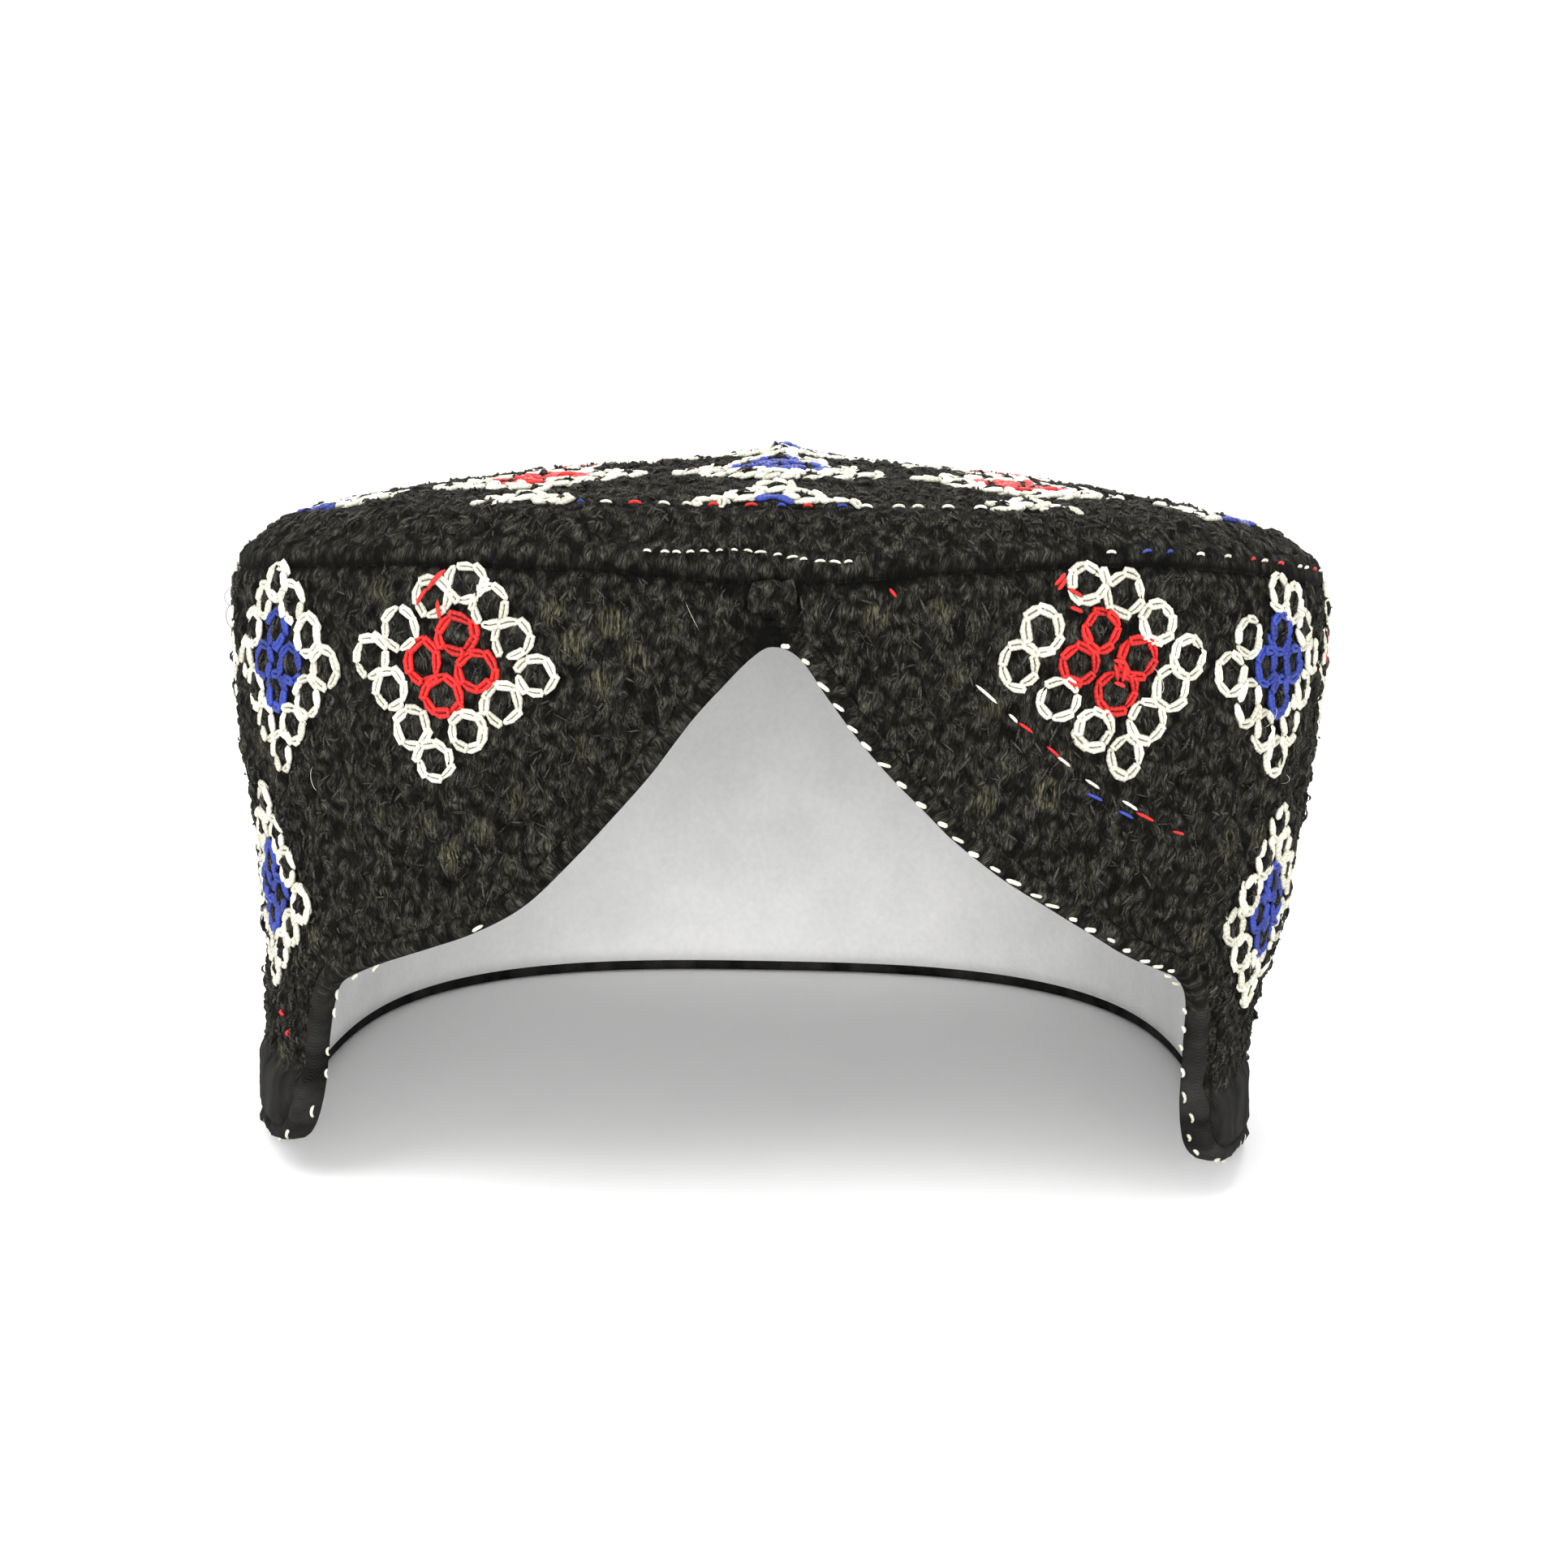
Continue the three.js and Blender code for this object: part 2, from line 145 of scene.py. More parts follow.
@dataclass(frozen=True)
class CapPlan:
    """The sizes that all pieces share: an oval seam, a settled wall, a slanted strip and a domed crown."""

    half_width: float = 84.5
    half_depth: float = 93.0
    squareness: float = 2.8
    wall_height: float = 86.5
    wall_cloth: float = 2.0
    left_tuck: float = 4.6
    right_tuck: float = 10.0
    front_flare: float = 7.8
    back_flare: float = 3.0
    hem_band: float = 13.0
    hem_swell: float = 1.3
    hem_step: float = 5.0
    arch_reach: float = 88.0
    arch_height: float = 78.2
    tip_rise: float = 4.4
    tip_reach: float = 122.0
    tip_height: float = 45.0
    binding_width: float = 2.0
    strip_reach: float = 9.3
    strip_rise: float = 9.3
    strip_roundness: float = 1.35
    crown_rise: float = 7.0
    ridge_rise: float = 3.2
    ridge_spread: float = 9.0
    side_droop: float = 2.6
    lining_cloth: float = 1.0
    clearance: float = 0.3
    forward_shift: float = 0.0
    samples: int = 720
    edge_samples: int = 20
    tangent_step: float = 0.002

    @cached_property
    def settling_steps(self) -> dict[str, list[float]]:
        """Each column of the settling table at even steps of the height.

        Returns:
            Lists of shares, by column.
        """
        steps = self.samples
        places = WALL_SETTLING["at"]
        return {
            column: [read_table(places, WALL_SETTLING[column], k / steps) for k in range(steps + 1)]
            for column in ("left", "right", "front", "back")
        }

    def settled_share(self, column: str, share: float) -> float:
        """A column of the settling table, read from its even steps.

        Args:
            column: The side of the wall.
            share: Share of the wall's height.

        Returns:
            The share of that side's tuck or flare.
        """
        at = min(max(share, 0.0), 1.0) * self.samples
        k = min(int(at), self.samples - 1)
        steps = self.settling_steps[column]
        return steps[k] + (steps[k + 1] - steps[k]) * (at - k)

    def seam_point(self, angle: float) -> Vector:
        """The seam's plan at an angle from the front centre.

        Args:
            angle: Plan angle in radians.

        Returns:
            The point's x and y.
        """
        across = abs(math.sin(angle) / self.half_width) ** self.squareness
        along = abs(math.cos(angle) / self.half_depth) ** self.squareness
        radius = (across + along) ** (-1 / self.squareness)
        return Vector((radius * math.sin(angle), -radius * math.cos(angle)))

    @cached_property
    def seam_lengths(self) -> list[float]:
        """Lengths along the seam from the front centre to even angles of the right half.

        Returns:
            The lengths, from 0 to half of the seam.
        """
        lengths = [0.0]
        points = [self.seam_point(math.pi * i / self.samples) for i in range(self.samples + 1)]
        for before, after in zip(points, points[1:]):
            lengths.append(lengths[-1] + (after - before).length)
        return lengths

    @property
    def half_round(self) -> float:
        """Half of the length of the seam."""
        return self.seam_lengths[-1]

    def wrapped(self, u: float) -> float:
        """A length round the wall, brought into the range from the back centre to the back centre."""
        return (u + self.half_round) % (2 * self.half_round) - self.half_round

    def angle_at(self, u: float) -> float:
        """The plan angle at a length along the seam, negative to the left of the front centre.

        Args:
            u: Length round the wall.

        Returns:
            The angle in radians.
        """
        wanted = min(abs(u), self.half_round)
        i = min(max(bisect.bisect_left(self.seam_lengths, wanted), 1), self.samples)
        before, after = self.seam_lengths[i - 1], self.seam_lengths[i]
        part = (wanted - before) / (after - before)
        return math.copysign(math.pi * (i - 1 + part) / self.samples, u)

    def settled(self, angle: float, z: float) -> Vector:
        """The wall's plan at a height, with its sides tucked in and its front and back flared.

        Args:
            angle: Plan angle in radians.
            z: Height over the hem.

        Returns:
            The point's x and y.
        """
        point = self.seam_point(angle)
        share = z / self.wall_height
        if point.x < 0:
            tuck = self.left_tuck * self.settled_share("left", share)
        else:
            tuck = self.right_tuck * self.settled_share("right", share)
        if point.y < 0:
            flare = self.front_flare * self.settled_share("front", share)
        else:
            flare = self.back_flare * self.settled_share("back", share)
        point.x *= 1 - tuck / self.half_width
        point.y *= 1 + flare / self.half_depth * abs(math.cos(angle))
        return point

    def tip_lift(self, u: float, z: float) -> float:
        """How far the tips at the arch's feet have risen at a length round the wall and a height."""
        spread = 1 - smoothstep(abs(self.wrapped(u)), self.arch_reach, self.tip_reach)
        return self.tip_rise * spread * max(1 - z / self.tip_height, 0.0) ** 2

    def seam_lift(self, u: float) -> float:
        """How far the seam has risen at a length round the wall."""
        return read_table(SEAM_RISE["at"], SEAM_RISE["rise"], self.wrapped(u))

    def droop(self, x: float) -> float:
        """How far the crown's edge has drooped at a distance from the middle line."""
        return self.side_droop * abs(x / (self.half_width - self.strip_reach)) ** 4

    def swell(self, z: float) -> float:
        """How far the folded hem stands proud of the wall at a height."""
        half = self.hem_step / 2
        return self.hem_swell * (1 - smoothstep(z, self.hem_band - half, self.hem_band + half))

    @cached_property
    def arch_line(self) -> list[Vector]:
        """The arch's edge from its left foot to its right foot, on a curve through the chosen points.

        Returns:
            Points of the edge, each a length round the wall and a height.
        """
        shares = [(-reach, height) for reach, height in reversed(ARCH_LEFT)] + list(ARCH_RIGHT)
        knots = [Vector((reach * self.arch_reach, height * self.arch_height)) for reach, height in shares]
        line = []
        for i in range(len(knots) - 1):
            p0, p1, p2, p3 = (knots[min(max(k, 0), len(knots) - 1)] for k in range(i - 1, i + 3))
            start, end = (p2 - p0) / 2, (p3 - p1) / 2
            for k in range(self.edge_samples):
                t = k / self.edge_samples
                point = (2 * p1 - 2 * p2 + start + end) * t**3
                point += (3 * p2 - 3 * p1 - 2 * start - end) * t**2 + start * t + p1
                line.append(Vector((point.x, max(point.y, 0.0))))
        return line + [knots[-1]]

    @cached_property
    def cloth_feet(self) -> list[Vector]:
        """The arch's edge set back by the binding's width, where the wall's cloth ends.

        Returns:
            Points of the cloth's foot, by rising length.
        """
        line, set_back = self.arch_line, self.binding_width + self.clearance
        feet = []
        for i, point in enumerate(line):
            ahead, behind = line[min(i + 1, len(line) - 1)], line[max(i - 1, 0)]
            along = (ahead - behind).normalized()
            feet.append(point + Vector((-along.y, along.x)) * set_back)
        feet.sort(key=lambda foot: foot.x)
        return feet

    @cached_property
    def foot_places(self) -> list[float]:
        """Lengths along the seam of the cloth's feet."""
        return [foot.x for foot in self.cloth_feet]

    def foot_height(self, u: float) -> float:
        """The height at which the wall's cloth ends at a length along the seam.

        Args:
            u: Length round the wall.

        Returns:
            The height of the cloth's foot.
        """
        level = self.binding_width + self.clearance
        feet = self.cloth_feet
        if not feet[0].x < u < feet[-1].x:
            return level
        i = bisect.bisect_left(self.foot_places, u)
        low, high = feet[i - 1], feet[i]
        part = (u - low.x) / max(high.x - low.x, 1e-6)
        return max(low.y + (high.y - low.y) * part, level)

    def inset_point(self, angle: float, inset: float) -> Vector:
        """The seam's plan moved in by a distance.

        Args:
            angle: Plan angle in radians.
            inset: Distance in from the seam.

        Returns:
            The point's x and y.
        """
        along = self.seam_point(angle + self.tangent_step) - self.seam_point(angle - self.tangent_step)
        along.normalize()
        return self.seam_point(angle) + Vector((-along.y, along.x)) * inset

    def strip_height(self, inset: float) -> float:
        """Height of the strip's outer face at a distance in from the seam.

        Args:
            inset: Distance in from the seam.

        Returns:
            The height.
        """
        left = max(1 - inset / self.strip_reach, 0.0)
        rise = self.strip_rise * (1 - left**self.strip_roundness)
        return self.wall_height + self.clearance + rise

    @cached_property
    def crown_rim(self) -> tuple[list[float], list[float]]:
        """The crown's outline as plan directions from the +X axis and the reach in each.

        Returns:
            The directions, rising, and the reaches.
        """
        points = [
            self.inset_point(FULL_TURN * k / self.samples, self.strip_reach + self.clearance)
            for k in range(self.samples)
        ]
        pairs = sorted((math.atan2(point.y, point.x), point.length) for point in points)
        first, last = pairs[0], pairs[-1]
        pairs = [(last[0] - FULL_TURN, last[1])] + pairs + [(first[0] + FULL_TURN, first[1])]
        return [pair[0] for pair in pairs], [pair[1] for pair in pairs]

    def crown_reach(self, direction: float) -> float:
        """How far the crown reaches from the middle in a plan direction.

        Args:
            direction: Plan direction from the +X axis, in radians.

        Returns:
            The reach.
        """
        directions, reaches = self.crown_rim
        i = min(max(bisect.bisect_left(directions, direction), 1), len(directions) - 1)
        part = (direction - directions[i - 1]) / (directions[i] - directions[i - 1])
        return reaches[i - 1] + (reaches[i] - reaches[i - 1]) * part

    def crown_share(self, x: float, y: float) -> float:
        """The share of the way from the crown's middle to its edge."""
        distance = math.hypot(x, y)
        return distance / self.crown_reach(math.atan2(y, x)) if distance > 1e-6 else 0.0

    def crown_height(self, x: float, share: float) -> float:
        """Height of the crown's top face, with the fold along its middle.

        Args:
            x: Distance from the middle line.
            share: Share of the way to the crown's edge.

        Returns:
            The height.
        """
        level = max(1 - share * share, 0.0)
        ridge = self.ridge_rise * math.exp(-abs(x) / self.ridge_spread) * math.sqrt(level)
        return self.strip_height(self.strip_reach) + self.crown_rise * level + ridge


class Face(ABC):
    """A smooth face of the cap that cloth and stitches lie on."""

    @abstractmethod
    def spot(self, u: float, v: float) -> Matrix:
        """The frame at flat cloth coordinates.

        Args:
            u: Place across, to the right as seen from outside.
            v: Place up the cloth.

        Returns:
            A matrix whose columns are right, up and out, with its place in millimetres.
        """

    @abstractmethod
    def holds(self, u: float, v: float, margin: float) -> bool:
        """Whether a place lies on the cloth, at least a margin from its edges."""


def frame_matrix(place: Vector, right: Vector, up: Vector) -> Matrix:
    """A frame from its place, its right and its up, squared up.

    Args:
        place: Where it lies.
        right: Its X direction.
        up: Its rough Y direction.

    Returns:
        The frame as a matrix.
    """
    out = right.cross(up).normalized()
    up = out.cross(right).normalized()
    matrix = Matrix((right.normalized(), up, out)).transposed().to_4x4()
    matrix.translation = place
    return matrix


def over(spot: Matrix, height: float) -> Vector:
    """The point at a height over a frame."""
    return spot.translation + spot.col[2].xyz * height


@dataclass(frozen=True)
class WallFace(Face):
    """The outer face of the side wall. u runs round the seam and v is the height."""

    plan: CapPlan

    def spot(self, u: float, v: float) -> Matrix:
        """The frame at a length round the wall and a height.

        Args:
            u: Length round the wall.
            v: Height over the hem.

        Returns:
            The frame there.
        """
        plan = self.plan
        angle = plan.angle_at(plan.wrapped(u))
        step = plan.tangent_step
        here = plan.settled(angle, v)
        along = plan.settled(angle + step, v) - plan.settled(angle - step, v)
        rise = (plan.settled(angle, v + 1) - plan.settled(angle, v - 1)) / 2
        right = Vector((along.x, along.y, 0)).normalized()
        up = Vector((rise.x, rise.y, 1))
        height = v + plan.tip_lift(u, v) + plan.seam_lift(u) * min(v / plan.wall_height, 1.0) ** 2
        matrix = frame_matrix(Vector((here.x, here.y + plan.forward_shift, height)), right, up)
        matrix.translation += matrix.col[2].xyz * plan.swell(v)
        return matrix

    def holds(self, u: float, v: float, margin: float) -> bool:
        """Whether a place lies on the wall above its hem band.

        Args:
            u: Length round the wall.
            v: Height over the hem.
            margin: Least distance from an edge.

        Returns:
            True where a stitch may lie.
        """
        plan = self.plan
        if v > plan.wall_height - margin or v < plan.hem_band + margin:
            return False
        near = (plan.foot_height(plan.wrapped(u + side)) for side in (-margin, 0, margin))
        return v > max(near) + margin


@dataclass(frozen=True)
class StripFace(Face):
    """The outer face of the shoulder strip. v is the length up its slant."""

    plan: CapPlan

    @property
    def slant(self) -> float:
        """Length of the strip from the seam to the crown."""
        return math.hypot(self.plan.strip_reach, self.plan.strip_rise)

    def place(self, u: float, v: float) -> Vector:
        """The point of the strip at a length round the seam and up the slant.

        Args:
            u: Length round the wall.
            v: Length up the slant.

        Returns:
            The point in millimetres.
        """
        plan = self.plan
        inset = min(max(v / self.slant, 0.0), 1.0) * plan.strip_reach
        flat = plan.inset_point(plan.angle_at(plan.wrapped(u)), inset)
        inward = inset / plan.strip_reach
        height = plan.strip_height(inset) + plan.seam_lift(u) * (1 - inward) - plan.droop(flat.x) * inward
        return Vector((flat.x, flat.y + plan.forward_shift, height))

    def spot(self, u: float, v: float) -> Matrix:
        """The frame at a length round the seam and up the slant.

        Args:
            u: Length round the wall.
            v: Length up the slant.

        Returns:
            The frame there.
        """
        step = 0.2
        low = min(max(v, step), self.slant - step)
        right = self.place(u + step, v) - self.place(u - step, v)
        up = self.place(u, low + step) - self.place(u, low - step)
        return frame_matrix(self.place(u, v), right, up)

    def holds(self, u: float, v: float, margin: float) -> bool:
        """Whether a place lies on the strip."""
        return margin < v < self.slant - margin


@dataclass(frozen=True)
class CrownFace(Face):
    """The top face of the crown. u is x and v is y."""

    plan: CapPlan

    def place(self, x: float, y: float) -> Vector:
        """The point of the crown above a place.

        Args:
            x: Place across.
            y: Place towards the back.

        Returns:
            The point in millimetres.
        """
        plan = self.plan
        height = plan.crown_height(x, plan.crown_share(x, y)) - plan.droop(x)
        return Vector((x, y + plan.forward_shift, height))

    def spot(self, u: float, v: float) -> Matrix:
        """The frame above a place.

        Args:
            u: Place across.
            v: Place towards the back.

        Returns:
            The frame there.
        """
        step = 0.4
        right = self.place(u + step, v) - self.place(u - step, v)
        up = self.place(u, v + step) - self.place(u, v - step)
        return frame_matrix(self.place(u, v), right, up)

    def holds(self, u: float, v: float, margin: float) -> bool:
        """Whether a place lies on the crown."""
        direction = math.atan2(v, u)
        return math.hypot(u, v) < self.plan.crown_reach(direction) - margin


@dataclass(frozen=True)
class Motif:
    """A diamond of sixteen rings, the inner four of another colour.

    turn is how far its level diagonal is turned, and lean how far its upright one is turned past that.
    """

    u: float
    v: float
    turn: float
    colour: Slot
    lean: float = 0.0


# Motifs seen from the front; the others continue them at an even pitch
FRONT_MOTIFS = (
    Motif(u=-42.5, v=73.7, turn=-4.2, colour=Slot.RED, lean=-8.0),
    Motif(u=44.2, v=74.7, turn=2.1, colour=Slot.RED, lean=14.0),
)
LEFT_TOP = Motif(u=-75.7, v=73.3, turn=-2.1, colour=Slot.BLUE)
RIGHT_TOP = Motif(u=77.0, v=74.4, turn=5.1, colour=Slot.BLUE)
LEFT_LOW = Motif(u=-88.0, v=40.6, turn=-2.1, colour=Slot.BLUE)
RIGHT_LOW = Motif(u=85.0, v=40.4, turn=5.1, colour=Slot.BLUE)


@dataclass(frozen=True)
class MotifPlan:
    """Where the motifs lie on the wall and on the crown."""

    plan: CapPlan
    steps_round: int = 12
    level_turn: float = 2.0
    crown_pitch: float = 34.2
    crown_row: float = 34.0
    crown_first: float = -87.0
    crown_rows: int = 6
    crown_across: tuple[float, float] = (-90.0, 90.0)
    crown_up: tuple[float, float] = (-95.0, 95.0)
    level_stray: float = 0.8
    strip_marks: int = 8
    strip_mark_pitch: float = 40.0
    strip_mark_height: float = 30.0

    def row_round(self, start: Motif, end: Motif, rng: random.Random) -> list[Motif]:
        """Motifs at an even pitch from the right side round the back to the left side.

        Args:
            start: The row's motif at the right front corner.
            end: Its motif at the left front corner.
            rng: The random draws.

        Returns:
            The row's motifs.
        """
        goal = end.u + 2 * self.plan.half_round
        row = [start]
        for k in range(1, self.steps_round):
            share = k / self.steps_round
            row.append(Motif(
                u=self.plan.wrapped(start.u + (goal - start.u) * share),
                v=start.v + (end.v - start.v) * share + rng.uniform(-self.level_stray, self.level_stray),
                turn=rng.uniform(-self.level_turn, self.level_turn),
                colour=Slot.RED if k % 2 else Slot.BLUE,
            ))
        return row + [end]

    def wall(self, rng: random.Random) -> list[Motif]:
        """All motifs of the wall.

        Args:
            rng: The random draws.

        Returns:
            The motifs, those at the front first.
        """
        top = self.row_round(RIGHT_TOP, LEFT_TOP, rng)
        low = self.row_round(RIGHT_LOW, LEFT_LOW, rng)
        return list(FRONT_MOTIFS) + top + low

    def crown(self, rng: random.Random) -> list[Motif]:
        """All motifs of the crown, in rows from the front to the back.

        Args:
            rng: The random draws.

        Returns:
            The motifs.
        """
        motifs = []
        for row in range(self.crown_rows):
            for column in (-2, -1, 0, 1, 2):
                motifs.append(Motif(
                    u=column * self.crown_pitch,
                    v=self.crown_first + row * self.crown_row,
                    turn=rng.uniform(-self.level_turn, self.level_turn),
                    colour=Slot.RED if column % 2 else Slot.BLUE,
                ))
        return motifs

    def strip(self) -> list[Motif]:
        """Marks beyond the strip, which only set how the lattice of its ground lies."""
        places = range(-self.strip_marks, self.strip_marks + 1)
        return [Motif(k * self.strip_mark_pitch, self.strip_mark_height, 0, Slot.WHITE) for k in places]


@dataclass(frozen=True)
class Cell:
    """One padded cell of the stitched ground. colour is the ring's round it, or none for black."""

    u: float
    v: float
    mound: float
    rim: float
    phase: float
    # Strength of the painted olive highlight on the cell's mound
    glint_strength: float
    colour: Slot | None


@dataclass
class StitchedGround:
    """A ground of padded cells on a slanting square lattice, with pits between them."""

    face: Face
    motifs: list[Motif]
    rng: random.Random
    across: tuple[float, float]
    up: tuple[float, float]
    joined_at: float | None = None
    pitch: float = 5.8
    span: int = 14
    jitter: float = 0.28
    ring_radius: float = 2.38
    mound_radius: float = 2.5
    ring_room: float = 2.3
    crowding: float = 0.72
    ring_inset: float = 0.2
    black_inset: float = 1.4
    motif_glint_strength: float = 0.4
    top_slack: float = 1.0
    mounds: tuple[float, float] = (0.35, 0.9)
    rims: tuple[float, float] = (0.1, 0.42)
    rough: float = 0.5
    rough_size: float = 1.9
    fine: float = 0.42
    fine_size: float = 0.85
    rim_width: float = 0.6
    pit_depth: float = 0.35
    pit_span: tuple[float, float] = (2.6, 3.9)
    sunk: float = 0.4
    cells: list[Cell] = field(default_factory=list)

    def __post_init__(self) -> None:
        """Lays the cells and a search tree over them."""
        self.lay_cells()
        wrap = [0.0] if self.joined_at is None else [0.0, -2 * self.joined_at, 2 * self.joined_at]
        spots = [(cell.u + shift, cell.v, k) for k, cell in enumerate(self.cells) for shift in wrap]
        self.owners = [k for _, _, k in spots]
        self.tree = kdtree.KDTree(len(spots))
        for i, (u, v, _) in enumerate(spots):
            self.tree.insert((u, v, 0), i)
        self.tree.balance()

    def lay_cells(self) -> None:
        """Carries each motif's own lattice on over the ground that is nearest to it."""
        taken: dict[tuple[int, int], list[Cell]] = {}
        for motif in self.motifs:
            turn = Matrix.Rotation(math.radians(motif.turn), 2)
            leant = Matrix.Rotation(math.radians(motif.turn + motif.lean), 2)
            for i in range(-self.span, self.span):
                for j in range(-self.span, self.span):
                    right = (i - j) / math.sqrt(2) * self.pitch
                    down = (i + j - 3) / math.sqrt(2) * self.pitch
                    offset = turn @ Vector((right, 0)) + leant @ Vector((0, -down))
                    self.lay_cell(motif, i, j, motif.u + offset.x, motif.v + offset.y, taken)

    def lay_cell(self, motif: Motif, i: int, j: int, u: float, v: float, taken: dict) -> None:
        """Adds a cell if its place is on the cloth, belongs to this motif and is still free.

        Args:
            motif: The motif whose lattice the cell is on.
            i: Lattice step down to the right, 0 to 3 inside the motif.
            j: Lattice step down to the left, 0 to 3 inside the motif.
            u: Place across.
            v: Place up.
            taken: Cells laid so far, by coarse place.
        """
        in_motif = 0 <= i <= 3 and 0 <= j <= 3
        if in_motif and v < self.up[1] + self.top_slack:
            v = min(v, self.up[1] - self.ring_room)
        if self.joined_at is not None:
            u = (u + self.joined_at) % (2 * self.joined_at) - self.joined_at
        if not (self.across[0] <= u <= self.across[1] and self.up[0] <= v <= self.up[1]):
            return
        if not self.face.holds(u, v, self.ring_inset if in_motif else self.black_inset):
            return
        if not in_motif:
            nearest = min(self.motifs, key=lambda other: math.hypot(self.apart(other.u, u), other.v - v))
            if nearest is not motif:
                return
        key = (int(u // self.pitch), int(v // self.pitch))
        around = [(key[0] + a, key[1] + b) for a in (-1, 0, 1) for b in (-1, 0, 1)]
        near = (cell for place in around for cell in taken.get(place, ()))
        if any(math.hypot(cell.u - u, cell.v - v) < self.pitch * self.crowding for cell in near):
            return
        inner = 0 < i < 3 and 0 < j < 3
        rng = self.rng
        cell = Cell(
            u=u + rng.uniform(-self.jitter, self.jitter),
            v=v + rng.uniform(-self.jitter, self.jitter),
            mound=rng.uniform(*self.mounds),
            rim=0.0 if in_motif else rng.uniform(*self.rims),
            phase=rng.uniform(0, FULL_TURN),
            # Each cell draws a random strength for its painted olive highlight, weaker inside motifs
            glint_strength=rng.random() ** 2.5 * (self.motif_glint_strength if in_motif else 1.0),
            colour=(motif.colour if inner else Slot.WHITE) if in_motif else None,
        )
        taken.setdefault(key, []).append(cell)
        self.cells.append(cell)

    def apart(self, one: float, other: float) -> float:
        """How far two places across are from each other, also over the join at the back."""
        away = abs(one - other)
        return away if self.joined_at is None else min(away, 2 * self.joined_at - away)

    def relief(self, u: float, v: float, place: Vector) -> tuple[float, float, float]:
        """The ground's height at a place.

        Args:
            u: Place across.
            v: Place up.
            place: The same place in space, which the irregular part follows.

        Returns:
            The height, how far up a mound the place is, and the strength of the cell's painted olive
            highlight.
        """
        _, index, away = self.tree.find((u, v, 0))
        cell = self.cells[self.owners[index]]
        mound = max(1 - (away / self.mound_radius) ** 2, 0.0) ** 0.7
        rim = cell.rim * bell(away - self.ring_radius, self.rim_width)
        lumps = noise.noise(place / self.rough_size) * self.rough
        lumps += noise.noise(place / self.fine_size) * self.fine
        pit = self.pit_depth * smoothstep(away, *self.pit_span)
        return cell.mound * mound + rim + lumps - pit - self.sunk, mound, cell.glint_strength


class Value:
    """A shader socket that takes part in arithmetic."""

    def __init__(self, kit: "NodeKit", socket: bpy.types.NodeSocket) -> None:
        self.kit = kit
        self.socket = socket

    def _math(self, operation: str, *operands: "Value | float") -> "Value":
        """Adds a Math node over the operands."""
        return self.kit.node("ShaderNodeMath", {"operation": operation}, dict(enumerate(operands)))[0]

    def __add__(self, other: "Value | float") -> "Value":
        """Sum."""
        return self._math("ADD", self, other)

    __radd__ = __add__

    def __mul__(self, other: "Value | float") -> "Value":
        """Product."""
        return self._math("MULTIPLY", self, other)

    __rmul__ = __mul__

    def __sub__(self, other: "Value | float") -> "Value":
        """Difference."""
        return self._math("SUBTRACT", self, other)

    def __rsub__(self, other: "Value | float") -> "Value":
        """Difference from a number."""
        return self._math("SUBTRACT", other, self)

    def __truediv__(self, other: "Value | float") -> "Value":
        """Quotient."""
        return self._math("DIVIDE", self, other)

    def sine(self) -> "Value":
        """Sine of an angle in radians."""
        return self._math("SINE", self)

    def clamped(self) -> "Value":
        """Kept from 0 to 1."""
        return self._math("MINIMUM", self._math("MAXIMUM", self, 0.0), 1.0)

    def rise(self, low: float, high: float) -> "Value":
        """A straight rise from 0 at low to 1 at high."""
        return ((self - low) / (high - low)).clamped()


class Outputs:
    """A node's outputs by place."""

    def __init__(self, kit: "NodeKit", node: bpy.types.Node) -> None:
        """Keeps the node."""
        self.kit = kit
        self.node = node

    def __getitem__(self, key: int | str) -> Value:
        """The output with a number or a name."""
        return Value(self.kit, self.node.outputs[key])


